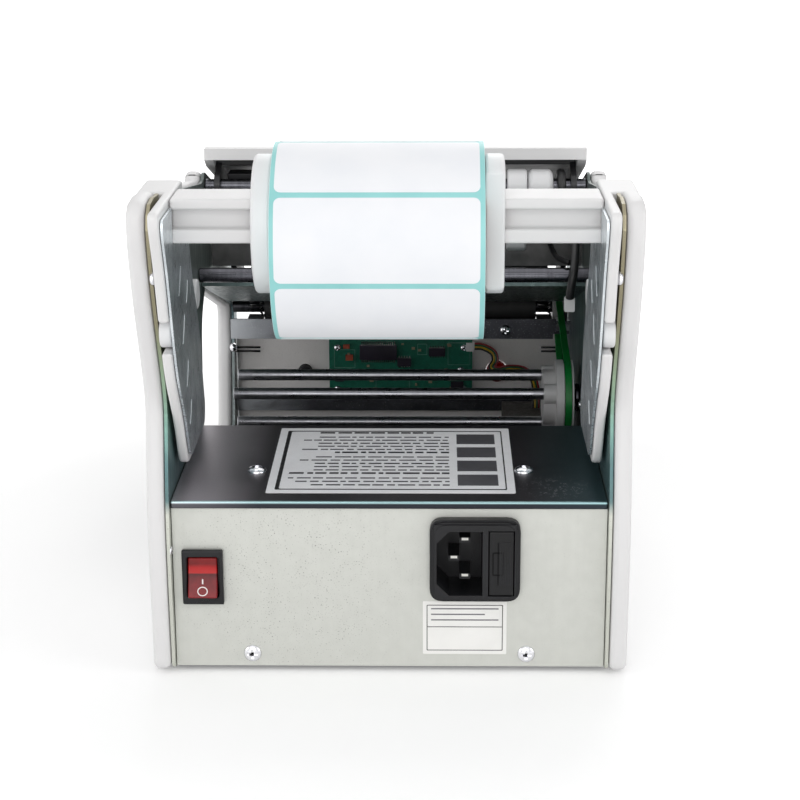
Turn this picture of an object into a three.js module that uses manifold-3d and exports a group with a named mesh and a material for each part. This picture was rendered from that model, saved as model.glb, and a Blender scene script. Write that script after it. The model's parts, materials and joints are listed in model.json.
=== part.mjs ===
// Label dispenser machine, modelled piece by piece.
// Lengths are millimetres, +Z is up, +X is to the right when the machine is seen from the rear.
// Places along Y are counted from the rear face of the power box, places along Z from the floor.
// The outer group moves everything along Y, so that the origin is under the machine's middle.
import * as THREE from 'three';
import { mergeVertices } from 'three/addons/utils/BufferGeometryUtils.js';
import Module from 'manifold-3d';

const wasm = await Module();
wasm.setup();

// General sizes
const overallWidth = 174;
const coverThickness = 6.5;
const sheet = 1.2;
const gap = 0.3;
const overrun = 2;
const roundSteps = 40;
const smallSteps = 20;
const cornerSteps = 5;

// Base and power box at the rear
const footHeight = 2;
const footDepth = 10;
const footInset = 18;
const boxDepth = 91;
const boxHeight = 66.7;
const lipHeight = 2.8;
const lipReach = 1.3;

// Side covers and the sheet frame plates inside them
const coverBottom = 1.5;
const coverHeight = 180;
const coverFront = 246;
const rearSweep = 24;
const coverCorner = 8;
const plateInset = 1.2;
const shoulderY = 60;
const earRadius = 6.3;
const earStart = THREE.MathUtils.degToRad(145);
const earRun = 12;
const earDrop = 9.4;
const coverSlope = THREE.MathUtils.degToRad(17.5);

// Window in the left cover, where the wound liner is pulled off
const windowRearY = 99;
const windowFrontY = 221;
const windowBottom = 24;
const windowTop = 116;
const windowTopY = 126;
const windowSlope = THREE.MathUtils.degToRad(18.4);
const windowCorner = 8;
const windowLean = 12;

// Label bed
const bedRearY = 112;
const bedRearZ = 121;
const bedBendY = 199;
const bedFlatZ = 93.5;
const bedFrontY = 237;
const bedThickness = 1.5;

// Upper and lower guide shafts
const shaftRadius = 3;
const upperShaftY = 136;
const upperShaftZ = 156.4;
const lowerShaftY = 106;
const lowerShaftZ = 125.5;

// What sits on and behind the upper shaft
const labelGuideInset = 32.6;
const labelGuideWidth = 8.2;
const labelGuideDepth = 14;
const labelGuideDrop = 27.1;
const collarInset = 24;
const collarWidth = 10.4;
const collarRadius = 7;
const collarChamfer = 1.6;
const sensorInset = 8.7;
const sensorWidth = 12;
const sensorDepth = 10;
const sensorHeight = 12;
const sensorBottom = 149;
const guidePlateY = 150;
const guidePlateBottom = 119.4;
const guidePlateTop = 153;
const guidePlateFlange = 6;

// Hood on its dark frame, which turns up about the upper shaft
const hoodRearY = 133;
const hoodBarDepth = 6;
const hoodBarHeight = 4.8;
const hoodBarTop = 172.5;
const hoodStep = 2.5;
const hoodSkin = 2.5;
const hoodFrontY = 238;
const hoodLip = 11;
const hoodSlope = THREE.MathUtils.degToRad(17.5);
const hoodArm = 3.7;
const hoodArmHeight = 5.8;

// Press frame under the hood and its roller
const frameWall = 2.4;
const frameRearY = 142;
const frameFrontY = 230;
const frameTop = 2;
const frameEarRadius = 6;
const frameNeckLift = 2.5;
const frameNeckY = 158;
const frameRearDrop = 16;
const frameWaistDrop = 12;
const pressRollerY = 212;
const pressRollerRadius = 6;
const pressRollerInset = 10.7;
const pressJournal = 2.5;
const labelClearance = 1;

// Drive roller and its pulley
const driveY = 227;
const driveZ = 82.9;
const driveRadius = 8;
const driveInset = 15.3;
const driveShaftRadius = 3;

// Liner belt, feed belt and their pulleys
const beltInset = 5.1;
const beltWidth = 2.8;
const beltThickness = 1.3;
const drivePulleyRadius = 7;
const hubGrooveRadius = 14.6;
const pulleyWall = 0.7;
const pulleyRim = 0.9;
const hubRim = 1.7;
const feedPulleyRadius = 6;
const motorPulleyRadius = 5;
const feedBeltWidth = 1.4;
const feedBeltThickness = 1;

// Liner rewinder
const rewindY = 150.5;
const rewindZ = 61;
const rewindCircle = 12;
const rodRadius = 2.5;
const rodCount = 3;
const rodFirstAngle = THREE.MathUtils.degToRad(37);
const rodInset = 8.7;
const hubInset = 15.7;
const bossWidth = 5.5;
const bossLobeRadius = 4.2;
const axleRadius = 3;
const axleFlangeRadius = 6;
const axleFlange = 1.4;

// Feed motor on the base
const motorSide = 32;
const motorLength = 27;
const motorY = 216;
const motorCorner = 4;
const motorBossRadius = 5;
const motorShaftRadius = 2;

// Front wall, cross strips and board
const frontPanelY = 239;
const frontPanelTop = 70;
const stripY = 214;
const stripBottom = 70.3;
const stripHeight = 9.4;
const stripBeltNotch = 2.4;
const springTabDepth = 10;
const springTabWidth = 7.2;
const lowerStripY = 236;
const lowerStripBottom = 28.7;
const lowerStripHeight = 5.5;
const boardHalfWidth = 34.2;
const boardBottom = 36;
const boardHeight = 28.5;
const boardThickness = 1.6;
const boardY = 234.4;
const postRadius = 2.2;
const postInset = 4;
const chipX = -10.7;
const chipWidth = 17.7;
const chipHeight = 7;
const chipThickness = 2.2;
const chipZ = 58.5;

// Springs between the strip and the bed
const springInset = 11.5;
const springY = 219.8;
const springRadius = 2.8;
const springWire = 1.1;
const springTurns = 4;
const turnSteps = 8;
const wireSides = 5;

// Roll holder
const armThickness = 3.6;
const armGap = 1.4;
const armTop = 178.5;
const armRearY = -36;
const armFrontY = 66;
const armHeight = 104;
const armCorner = 9;
const linerThickness = 0.8;
const linerInset = 3;
const tabRearY = 3;
const tabDepth = 25;
const tabHeight = 8;
const pegRadius = 5.75;
const pegLength = 4.2;
const rearPegY = -7;
const rearPegDrop = 46.9;
const frontPegY = 66;
const frontPegDrop = 51.2;
const barHalfDepth = 10;
const barHeight = 15.5;
const barRib = 3.8;
const barLowerRib = 5;
const barChannel = 4.5;

// Roll of labels, its core and the two roll guides
const rollRadius = 34.2;
const coreInner = 19.6;
const coreWall = 1.7;
const rollLeftX = -38.2;
const rollWidth = 71.4;
const rollY = 0;
const rollDrop = 16.4;
const guideRadius = 24;
const guideFlat = 13;
const guideSag = 2.7;
const guideWidth = 6.6;
const guideSideGap = 0.4;

// Power inlet with its fuse drawer
const inletInset = 47.6;
const inletZ = 44.8;
const inletWidth = 32.8;
const inletHeight = 31.6;
const inletProud = 4.5;
const inletBevel = 1.6;
const inletCorner = 5;
const inletBodyDepth = 21;
const inletBodyMargin = 1.6;
const socketWidth = 16.6;
const socketHeight = 24.6;
const socketDepth = 14;
const socketOffset = 5.6;
const socketDrop = 0.6;
const socketChamfer = 4.5;
const pinWidth = 4;
const pinThickness = 2;
const pinLength = 13;
const pinPitch = 7;
const earthOffset = 4;
const fuseWidth = 8.9;
const fuseOffset = 9.5;
const fuseDepth = 15;

// Rocker switch
const switchInset = 10.8;
const switchZ = 37.6;
const bezelWidth = 15;
const bezelHeight = 21;
const bezelProud = 2;
const rockerWidth = 10.7;
const rockerHeight = 15;
const rockerReach = 4.6;
const rockerDip = 1.2;
const rockerDepth = 6;
const switchBodyDepth = 14;
const switchBodyMargin = 1.2;

// Transformer in the power box
const transformerOffset = -12;
const transformerWidth = 52;
const transformerDepth = 40;
const transformerHeight = 44;
const transformerRearY = 32;

// Controls on the front wall
const knobInset = 32.7;
const buttonInset = 32.7;
const controlZ = 48;
const knobRadius = 8;
const knobLength = 5;
const knobShaftRadius = 3;
const knobShaftLength = 4;
const buttonRadius = 5;
const buttonLength = 7;
const buttonProud = 3;

// Cables that are held inside
const ribbonRadius = 1.7;
const cableRadius = 1.8;
const cableSides = 8;
const plugWidth = 4.4;
const plugDepth = 6.5;
const plugHeight = 6;

// Worked out from the sizes above
const halfWidth = overallWidth / 2;
const coverInner = halfWidth - coverThickness;
const plateOuter = coverInner - gap;
const plateInner = plateOuter - sheet;
const crossHalf = plateInner - gap;
const baseTop = footHeight + sheet;
const beltX = crossHalf - beltInset;
const hubInnerX = crossHalf - hubInset;
const rodLeftX = -crossHalf + rodInset;
const springX = crossHalf - springInset;
const driveHalf = crossHalf - driveInset;
const pressRollerHalf = crossHalf - pressRollerInset;
const labelGuideInner = crossHalf - labelGuideInset;
const collarInner = crossHalf - collarInset;
const sensorOuter = crossHalf - sensorInset;
const switchX = -crossHalf + switchInset;
const knobX = -crossHalf + knobInset;
const buttonX = crossHalf - buttonInset;
const inletX = crossHalf - inletInset;
const socketZ = inletZ - socketDrop;
const tabBottom = armTop - tabHeight;
const armBottom = armTop - armHeight;
const rearPegZ = armTop - rearPegDrop;
const frontPegZ = armTop - frontPegDrop;
const rollZ = armTop - rollDrop;
const armOuter = plateInner - armGap;
const armInner = armOuter - armThickness;
const barHalfLength = armInner - gap;
const guideCentreZ = armTop - barHeight / 2 - guideSag;
const coreOuter = coreInner + coreWall;
const rollRightX = rollLeftX + rollWidth;
const bedSlopeTan = (bedRearZ - bedFlatZ) / (bedBendY - bedRearY);
const hoodPlateTop = hoodBarTop - hoodStep;
const hoodArmInner = crossHalf - hoodArm;
const pressRollerZ = bedFlatZ + pressRollerRadius + labelClearance;
const beltLeft = beltX - beltWidth / 2 - gap;
const beltRight = beltX + beltWidth / 2 + gap;
const feedPulleyX = beltRight + pulleyWall;
const motorZ = baseTop + gap + motorSide / 2;
const stripTop = stripBottom + stripHeight;
const panelFace = frontPanelY + sheet;
const middleY = (armRearY + coverFront) / 2;

// Finishes: colour, roughness and metalness
function finish(color, roughness, metalness) {
  return new THREE.MeshStandardMaterial({ color, roughness, metalness });
}
const finishes = {
  whitePlastic: finish(0xe2e1df, 0.45, 0),
  greyPlastic: finish(0xb4b4b3, 0.5, 0),
  zinc: finish(0xc6c9bf, 0.35, 0.9),
  darkZinc: finish(0x55555a, 0.25, 0.9),
  darkPaint: finish(0x36363a, 0.5, 0.3),
  steel: finish(0x8d8d90, 0.2, 1),
  rubber: finish(0x1c1c1e, 0.8, 0),
  blackPlastic: finish(0x1c1c20, 0.4, 0),
  redClear: finish(0xb01418, 0.15, 0),
  label: finish(0xf6f6f8, 0.5, 0),
  card: finish(0xa98d68, 0.9, 0),
  greenBelt: finish(0x0a5a20, 0.5, 0),
  board: finish(0x0f4a3c, 0.4, 0),
  springBlack: finish(0x1a1a1c, 0.35, 0.8),
  cable: finish(0x121212, 0.5, 0),
  iron: finish(0x5c5750, 0.5, 0.7),
};

const machine = new THREE.Group();

function place(name, geometry, material) {
  const mesh = new THREE.Mesh(geometry, material);
  mesh.name = name;
  machine.add(mesh);
}

// Joins and cuts of closed meshes
function toSolid(geometry) {
  const bare = geometry.clone();
  bare.deleteAttribute('normal');
  bare.deleteAttribute('uv');
  const merged = mergeVertices(bare);
  return new wasm.Manifold(new wasm.Mesh({
    numProp: 3,
    vertProperties: Float32Array.from(merged.attributes.position.array),
    triVerts: Uint32Array.from(merged.index.array),
  }));
}

function toGeometry(solid) {
  const mesh = solid.getMesh();
  const geometry = new THREE.BufferGeometry();
  geometry.setAttribute('position', new THREE.BufferAttribute(Float32Array.from(mesh.vertProperties), 3));
  geometry.setIndex(new THREE.BufferAttribute(Uint32Array.from(mesh.triVerts), 1));
  return geometry;
}

function cut(geometry, ...tools) {
  return toGeometry(tools.reduce((rest, tool) => rest.subtract(toSolid(tool)), toSolid(geometry)));
}

function join(...geometries) {
  return toGeometry(geometries.map(toSolid).reduce((whole, next) => whole.add(next)));
}

// Basic shapes
function block(x0, x1, y0, y1, z0, z1) {
  const geometry = new THREE.BoxGeometry(x1 - x0, y1 - y0, z1 - z0);
  geometry.translate((x0 + x1) / 2, (y0 + y1) / 2, (z0 + z1) / 2);
  return geometry;
}

function outlineShape(outline, holes) {
  const shape = new THREE.Shape(outline.map(([a, b]) => new THREE.Vector2(a, b)));
  shape.holes = holes.map((hole) => new THREE.Path(hole.map(([a, b]) => new THREE.Vector2(a, b))));
  return shape;
}

function thicken(outline, depth, holes) {
  return new THREE.ExtrudeGeometry(outlineShape(outline, holes), { depth, bevelEnabled: false });
}

// An outline of Y and Z places, given a thickness from x0 to x1
function sidePlate(outline, x0, x1, holes = []) {
  const geometry = thicken(outline, x1 - x0, holes);
  const turn = new THREE.Matrix4().makeBasis(
    new THREE.Vector3(0, 1, 0), new THREE.Vector3(0, 0, 1), new THREE.Vector3(1, 0, 0));
  geometry.applyMatrix4(turn);
  geometry.translate(x0, 0, 0);
  return geometry;
}

// An outline of X and Z places, given a thickness from y0 to y1
function facePlate(outline, y0, y1, holes = []) {
  const geometry = thicken(outline, y1 - y0, holes);
  const turn = new THREE.Matrix4().makeBasis(
    new THREE.Vector3(1, 0, 0), new THREE.Vector3(0, 0, 1), new THREE.Vector3(0, -1, 0));
  geometry.applyMatrix4(turn);
  geometry.translate(0, y1, 0);
  return geometry;
}

function rectangle(a0, a1, b0, b1) {
  return [[a0, b0], [a1, b0], [a1, b1], [a0, b1]];
}

function arc(a, b, radius, from, to, steps) {
  const points = [];
  for (let i = 0; i <= steps; i += 1) {
    const angle = from + (to - from) * (i / steps);
    points.push([a + radius * Math.cos(angle), b + radius * Math.sin(angle)]);
  }
  return points;
}

function circle(a, b, radius, steps = roundSteps) {
  return arc(a, b, radius, 0, 2 * Math.PI, steps).slice(0, -1);
}

// Corners given as [a, b, radius] become short curves
function rounded(corners) {
  const points = [];
  corners.forEach(([a, b, radius = 0], i) => {
    const before = corners[(i + corners.length - 1) % corners.length];
    const after = corners[(i + 1) % corners.length];
    if (radius === 0) {
      points.push([a, b]);
      return;
    }
    const corner = new THREE.Vector2(a, b);
    const toBefore = new THREE.Vector2(before[0] - a, before[1] - b);
    const toAfter = new THREE.Vector2(after[0] - a, after[1] - b);
    const reach = Math.min(radius, toBefore.length() / 2, toAfter.length() / 2);
    const start = corner.clone().add(toBefore.setLength(reach));
    const end = corner.clone().add(toAfter.setLength(reach));
    const curve = new THREE.QuadraticBezierCurve(start, corner, end);
    curve.getPoints(cornerSteps).forEach((point) => points.push([point.x, point.y]));
  });
  return points;
}

function smooth(points, steps) {
  const curve = new THREE.SplineCurve(points.map(([a, b]) => new THREE.Vector2(a, b)));
  return curve.getPoints(steps).map((point) => [point.x, point.y]);
}

// A round bar along X between x0 and x1
function shaftX(radius, x0, x1, y, z, steps = roundSteps) {
  const geometry = new THREE.CylinderGeometry(radius, radius, x1 - x0, steps);
  geometry.rotateZ(-Math.PI / 2);
  geometry.translate((x0 + x1) / 2, y, z);
  return geometry;
}

// A round bar along Y between y0 and y1
function shaftY(radius, y0, y1, x, z, steps = smallSteps) {
  const geometry = new THREE.CylinderGeometry(radius, radius, y1 - y0, steps);
  geometry.translate(x, (y0 + y1) / 2, z);
  return geometry;
}

// A turned piece about a line along X: the profile holds [x, radius] and is closed here
function turnedX(profile, y, z, steps = roundSteps) {
  const points = [...profile, profile[0]].map(
    ([along, radius]) => new THREE.Vector2(radius, along)).reverse();
  const geometry = new THREE.LatheGeometry(points, steps);
  geometry.rotateZ(-Math.PI / 2);
  geometry.translate(0, y, z);
  return geometry;
}

function tubeAlong(route, radius, steps) {
  const path = new THREE.CatmullRomCurve3(route.map((point) => new THREE.Vector3(...point)));
  const section = outlineShape(circle(0, 0, radius, cableSides), []);
  return new THREE.ExtrudeGeometry(section, { steps, bevelEnabled: false, extrudePath: path });
}

// Height of the bed's sloping face and of the hood's upper face at a place along Y
function bedAt(y) {
  return bedRearZ - (y - bedRearY) * bedSlopeTan;
}

function hoodAt(y) {
  return hoodPlateTop - (y - hoodRearY - hoodBarDepth) * Math.tan(hoodSlope);
}

// Outline of the covers and frame plates: shares of the rear sweep and of the cover's height
const rearEdgeShares = [
  [-0.17, 0.05], [-0.23, 0.21], [-0.21, 0.35], [-0.06, 0.465], [0.06, 0.555],
  [-0.1, 0.63], [-0.39, 0.71], [-0.71, 0.805], [-0.92, 0.89], [-1, 0.945],
];
const rearTopShares = [[-0.94, 0.98], [-0.76, 0.996], [-0.4, 1], [-0.1, 0.996]];
const rearEdgeSteps = 30;

function sideOutline(inset) {
  const onEdge = ([yShare, zShare]) => [yShare * rearSweep + inset, zShare * coverHeight];
  const rear = smooth(rearEdgeShares.map(onEdge), rearEdgeSteps);
  const crown = rearTopShares.map(onEdge).map(([y, z]) => [y, z - inset]);
  const notchRear = tabRearY - gap;
  const notchFloor = tabBottom - gap - inset;
  const earSide = Math.PI / 2 - coverSlope;
  const ear = arc(upperShaftY, upperShaftZ, earRadius - inset / 2, earStart, earSide, 2 * cornerSteps);
  const [tangentY, tangentZ] = ear.at(-1);
  const frontTopZ = tangentZ - (coverFront - inset - tangentY) * Math.tan(coverSlope);
  const front = rounded([
    ear.at(-1),
    [coverFront - inset, frontTopZ, coverCorner],
    [coverFront - inset, coverBottom, coverCorner],
    [rearEdgeShares[0][0] * rearSweep + inset, coverBottom, coverCorner],
    rear[0],
  ]);
  return [
    ...rear, ...crown,
    [notchRear, crown.at(-1)[1]],
    [notchRear, notchFloor],
    [shoulderY, notchFloor],
    [upperShaftY - earRun, notchFloor - earDrop],
    ...ear,
    ...front.slice(1, -1),
  ];
}

function windowOutline(margin) {
  const top = (y) => windowTop - (y - windowTopY) * Math.tan(windowSlope) + margin;
  const kneeY = windowRearY + windowLean;
  return rounded([
    [windowRearY - margin, windowBottom - margin, windowCorner],
    [windowFrontY + margin, windowBottom - margin, windowCorner],
    [windowFrontY + windowLean + margin, top(windowFrontY + windowLean), windowCorner],
    [windowTopY, top(windowTopY), windowCorner / 2],
    [kneeY - margin, top(windowTopY) - windowLean, windowCorner],
  ]);
}

function sideCovers() {
  place('side_cover_left', sidePlate(sideOutline(0), -halfWidth, -coverInner, [windowOutline(0)]),
    finishes.whitePlastic);
  place('side_cover_right', sidePlate(sideOutline(0), coverInner, halfWidth), finishes.whitePlastic);
  const leftPlate = sidePlate(sideOutline(plateInset), -plateOuter, -plateInner, [windowOutline(plateInset)]);
  place('frame_plate_left', leftPlate, finishes.zinc);
  place('frame_plate_right', sidePlate(sideOutline(plateInset), plateInner, plateOuter), finishes.zinc);
}

function baseAndFeet() {
  place('base_plate', block(-crossHalf, crossHalf, sheet + gap, frontPanelY - gap, footHeight, baseTop),
    finishes.zinc);
  const footHalf = crossHalf - footInset;
  const rearFoot = block(-footHalf, footHalf, footInset, footInset + footDepth, 0, footHeight);
  place('foot_strip_rear', rearFoot, finishes.rubber);
  const frontFootY = frontPanelY - footInset;
  const frontFoot = block(-footHalf, footHalf, frontFootY - footDepth, frontFootY, 0, footHeight);
  place('foot_strip_front', frontFoot, finishes.rubber);
}

function powerBox() {
  const inletHole = rectangle(
    inletX - inletWidth / 2 + inletBodyMargin - gap, inletX + inletWidth / 2 - inletBodyMargin + gap,
    inletZ - inletHeight / 2 + inletBodyMargin - gap, inletZ + inletHeight / 2 - inletBodyMargin + gap);
  const switchHole = rectangle(
    switchX - bezelWidth / 2 + switchBodyMargin - gap, switchX + bezelWidth / 2 - switchBodyMargin + gap,
    switchZ - bezelHeight / 2 + switchBodyMargin - gap, switchZ + bezelHeight / 2 - switchBodyMargin + gap);
  const rearTop = boxHeight - lipHeight - gap;
  place('box_rear_plate',
    facePlate(rectangle(-crossHalf, crossHalf, footHeight, rearTop), 0, sheet, [inletHole, switchHole]),
    finishes.zinc);
  const topOutline = [
    [-lipReach, boxHeight - lipHeight],
    [-lipReach + sheet, boxHeight - lipHeight],
    [-lipReach + sheet, boxHeight - sheet],
    [boxDepth - sheet, boxHeight - sheet],
    [boxDepth - sheet, baseTop + gap],
    [boxDepth, baseTop + gap],
    [boxDepth, boxHeight],
    [-lipReach, boxHeight],
  ];
  place('box_top_plate', sidePlate(topOutline, -crossHalf, crossHalf), finishes.darkZinc);
  const transformer = block(
    transformerOffset - transformerWidth / 2, transformerOffset + transformerWidth / 2,
    transformerRearY, transformerRearY + transformerDepth,
    baseTop + gap, baseTop + gap + transformerHeight);
  place('transformer', transformer, finishes.iron);
}

// The inlet's flange is a stack of two outlines, so that its front edge is bevelled
function inletOutline(shrink) {
  const half = inletWidth / 2 - shrink;
  const tall = inletHeight / 2 - shrink;
  return rounded([
    [inletX - half, inletZ - tall, inletCorner], [inletX + half, inletZ - tall, inletCorner],
    [inletX + half, inletZ + tall, inletCorner], [inletX - half, inletZ + tall, inletCorner],
  ]);
}

function powerInlet() {
  const half = inletWidth / 2;
  const tall = inletHeight / 2;
  const face = -inletProud - gap;
  const flange = join(
    facePlate(inletOutline(0), face + inletBevel, -gap),
    facePlate(inletOutline(inletBevel / 2), face + inletBevel / 2, -gap),
    facePlate(inletOutline(inletBevel), face, -gap));
  const body = block(
    inletX - half + inletBodyMargin, inletX + half - inletBodyMargin, -inletProud, inletBodyDepth,
    inletZ - tall + inletBodyMargin, inletZ + tall - inletBodyMargin);
  const socketX = inletX - socketOffset;
  const chamferX = socketX - socketWidth / 2 + socketChamfer;
  const socket = facePlate([
    [chamferX, socketZ - socketHeight / 2],
    [socketX + socketWidth / 2, socketZ - socketHeight / 2],
    [socketX + socketWidth / 2, socketZ + socketHeight / 2],
    [chamferX, socketZ + socketHeight / 2],
    [socketX - socketWidth / 2, socketZ + socketHeight / 2 - socketChamfer],
    [socketX - socketWidth / 2, socketZ - socketHeight / 2 + socketChamfer],
  ], face - overrun, socketDepth);
  const fuseX = inletX + fuseOffset;
  const drawerHole = block(
    fuseX - fuseWidth / 2 - gap, fuseX + fuseWidth / 2 + gap, face - overrun, fuseDepth + gap,
    socketZ - socketHeight / 2 - gap, socketZ + socketHeight / 2 + gap);
  const pinPlaces = [
    [socketX - earthOffset / 2, socketZ],
    [socketX + earthOffset / 2, socketZ + pinPitch],
    [socketX + earthOffset / 2, socketZ - pinPitch],
  ];
  const pins = pinPlaces.map(([x, z]) => block(
    x - pinWidth / 2, x + pinWidth / 2, socketDepth - pinLength, socketDepth + sheet,
    z - pinThickness / 2, z + pinThickness / 2));
  place('power_inlet', join(cut(join(flange, body), socket, drawerHole), ...pins), finishes.blackPlastic);
  const drawer = block(fuseX - fuseWidth / 2, fuseX + fuseWidth / 2, face, fuseDepth,
    socketZ - socketHeight / 2, socketZ + socketHeight / 2);
  place('fuse_drawer', drawer, finishes.blackPlastic);
}

function powerSwitch() {
  const half = bezelWidth / 2;
  const tall = bezelHeight / 2;
  const flange = block(
    switchX - half, switchX + half, -bezelProud - gap, -gap, switchZ - tall, switchZ + tall);
  const body = block(
    switchX - half + switchBodyMargin, switchX + half - switchBodyMargin, -bezelProud, switchBodyDepth,
    switchZ - tall + switchBodyMargin, switchZ + tall - switchBodyMargin);
  const well = block(
    switchX - rockerWidth / 2 - gap, switchX + rockerWidth / 2 + gap, -bezelProud - overrun,
    switchBodyDepth - sheet, switchZ - rockerHeight / 2 - gap, switchZ + rockerHeight / 2 + gap);
  place('switch_bezel', cut(join(flange, body), well), finishes.blackPlastic);
  // The rocker is pressed in at its upper half, so its lower edge stands proud
  const lower = switchZ - rockerHeight / 2 + gap;
  const upper = switchZ + rockerHeight / 2 - gap;
  const profile = [
    [-rockerReach, lower], [-bezelProud - gap, switchZ - rockerDip], [-bezelProud + rockerDip, upper],
    [-bezelProud + 2 * rockerDip, upper], [rockerDepth, switchZ + rockerDip],
    [rockerDepth, switchZ - rockerDip], [-bezelProud + rockerDip, lower],
  ];
  place('switch_rocker', sidePlate(profile, switchX - rockerWidth / 2, switchX + rockerWidth / 2),
    finishes.redClear);
}

// Label bed: a sheet that slopes down to the front and ends level at the peel edge
function labelBed() {
  const flatUnder = bedFlatZ - bedThickness;
  const outline = [
    [bedRearY, bedRearZ - bedThickness], [bedBendY, flatUnder], [bedFrontY, flatUnder],
    [bedFrontY, bedFlatZ], [bedBendY, bedFlatZ], [bedRearY, bedRearZ],
  ];
  place('label_bed', sidePlate(outline, -crossHalf, crossHalf), finishes.zinc);
}

function guideShafts() {
  place('guide_shaft_upper', shaftX(shaftRadius, -crossHalf, crossHalf, upperShaftY, upperShaftZ, smallSteps),
    finishes.steel);
  place('guide_shaft_lower', shaftX(shaftRadius, -crossHalf, crossHalf, lowerShaftY, lowerShaftZ, smallSteps),
    finishes.steel);
}

function labelGuides() {
  const half = labelGuideDepth / 2;
  const outline = [
    ...arc(upperShaftY, upperShaftZ, half, 0, Math.PI, 2 * cornerSteps),
    ...arc(upperShaftY, upperShaftZ - labelGuideDrop + half, half, Math.PI, 2 * Math.PI, 2 * cornerSteps),
  ];
  const bore = circle(upperShaftY, upperShaftZ, shaftRadius + gap, smallSteps);
  const outer = labelGuideInner + labelGuideWidth;
  place('label_guide_left', sidePlate(outline, -outer, -labelGuideInner, [bore]), finishes.whitePlastic);
  place('label_guide_right', sidePlate(outline, labelGuideInner, outer, [bore]), finishes.whitePlastic);
  const collarOuter = collarInner + collarWidth;
  const collar = turnedX([
    [collarInner, shaftRadius + gap], [collarOuter, shaftRadius + gap],
    [collarOuter, collarRadius - collarChamfer], [collarOuter - collarChamfer, collarRadius],
    [collarInner + collarChamfer, collarRadius], [collarInner, collarRadius - collarChamfer],
  ], upperShaftY, upperShaftZ, smallSteps);
  place('shaft_collar', collar, finishes.whitePlastic);
}

function guidePlateAndSensor() {
  const face = facePlate(
    rectangle(-crossHalf, crossHalf, guidePlateBottom, guidePlateTop), guidePlateY, guidePlateY + sheet);
  const flangeFront = guidePlateY + guidePlateFlange;
  const flanges = [-crossHalf, crossHalf - sheet].map((x) => block(
    x, x + sheet, guidePlateY, flangeFront, guidePlateBottom, guidePlateTop));
  place('guide_plate', join(face, ...flanges), finishes.darkPaint);
  const sensor = block(
    -sensorOuter, -sensorOuter + sensorWidth, guidePlateY - gap - sensorDepth, guidePlateY - gap,
    sensorBottom, sensorBottom + sensorHeight);
  place('label_sensor', sensor, finishes.blackPlastic);
}

function hood() {
  const slopeStart = hoodRearY + hoodBarDepth;
  const under = (y) => hoodAt(y) - hoodSkin;
  const skin = sidePlate([
    [hoodRearY, hoodBarTop - hoodBarHeight], [slopeStart, hoodBarTop - hoodBarHeight],
    [slopeStart, under(slopeStart)], [hoodFrontY - hoodSkin, under(hoodFrontY - hoodSkin)],
    [hoodFrontY - hoodSkin, hoodAt(hoodFrontY) - hoodLip], [hoodFrontY, hoodAt(hoodFrontY) - hoodLip],
    [hoodFrontY, hoodAt(hoodFrontY)], [slopeStart, hoodAt(slopeStart)],
    [slopeStart, hoodBarTop], [hoodRearY, hoodBarTop],
  ], -crossHalf, crossHalf);
  const armOutline = [
    [hoodRearY, hoodBarTop - hoodBarHeight],
    [slopeStart, hoodAt(slopeStart) - hoodArmHeight],
    [hoodFrontY - hoodSkin, hoodAt(hoodFrontY - hoodSkin) - hoodArmHeight],
    [hoodFrontY - hoodSkin, hoodAt(hoodFrontY - hoodSkin) - hoodSkin / 2],
    [slopeStart, hoodAt(slopeStart) - hoodSkin / 2],
    [hoodRearY, hoodBarTop - hoodSkin],
  ];
  const arms = [
    sidePlate(armOutline, -crossHalf, -hoodArmInner),
    sidePlate(armOutline, hoodArmInner, crossHalf),
  ];
  place('hood', join(skin, ...arms), finishes.whitePlastic);
}

// Frame under the hood: it turns on the upper shaft and carries the press roller
function pressFrame() {
  const top = (y) => hoodAt(y) - hoodSkin - gap;
  const outer = hoodArmInner - gap;
  const roofRear = frameRearY;
  const roof = sidePlate([
    [roofRear, top(roofRear) - frameTop], [frameFrontY, top(frameFrontY) - frameTop],
    [frameFrontY, top(frameFrontY)], [roofRear, top(roofRear)],
  ], -outer, outer);
  const frameBottom = bedFlatZ + labelClearance;
  const neckZ = guidePlateTop + frameNeckLift;
  const cheekOutline = [
    ...arc(upperShaftY, upperShaftZ, frameEarRadius, Math.PI / 2, 11 * Math.PI / 6, 3 * cornerSteps),
    [guidePlateY - frameEarRadius, neckZ],
    [frameNeckY, neckZ],
    [frameNeckY, top(frameNeckY) - frameRearDrop],
    [pressRollerY - 2 * frameWaistDrop, bedAt(pressRollerY - 2 * frameWaistDrop) + frameWaistDrop],
    [pressRollerY - frameWaistDrop, frameBottom + frameTop],
    [pressRollerY - pressRollerRadius, frameBottom],
    [pressRollerY + pressRollerRadius, frameBottom],
    [frameFrontY, top(frameFrontY) - frameWaistDrop],
    [frameFrontY, top(frameFrontY) - frameTop / 2],
    [roofRear, top(roofRear) - frameTop / 2],
  ];
  const holes = [
    circle(pressRollerY, pressRollerZ, pressJournal + gap, smallSteps),
    circle(upperShaftY, upperShaftZ, shaftRadius + gap, smallSteps),
  ];
  const cheeks = [
    sidePlate(cheekOutline, -outer, -outer + frameWall, holes),
    sidePlate(cheekOutline, outer - frameWall, outer, holes),
  ];
  place('press_frame', join(roof, ...cheeks), finishes.darkPaint);
  const end = outer - gap;
  place('press_roller', turnedX([
    [-end, 0], [end, 0], [end, pressJournal], [pressRollerHalf, pressJournal],
    [pressRollerHalf, pressRollerRadius], [-pressRollerHalf, pressRollerRadius],
    [-pressRollerHalf, pressJournal], [-end, pressJournal],
  ], pressRollerY, pressRollerZ, 2 * cornerSteps + smallSteps), finishes.rubber);
}

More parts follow.
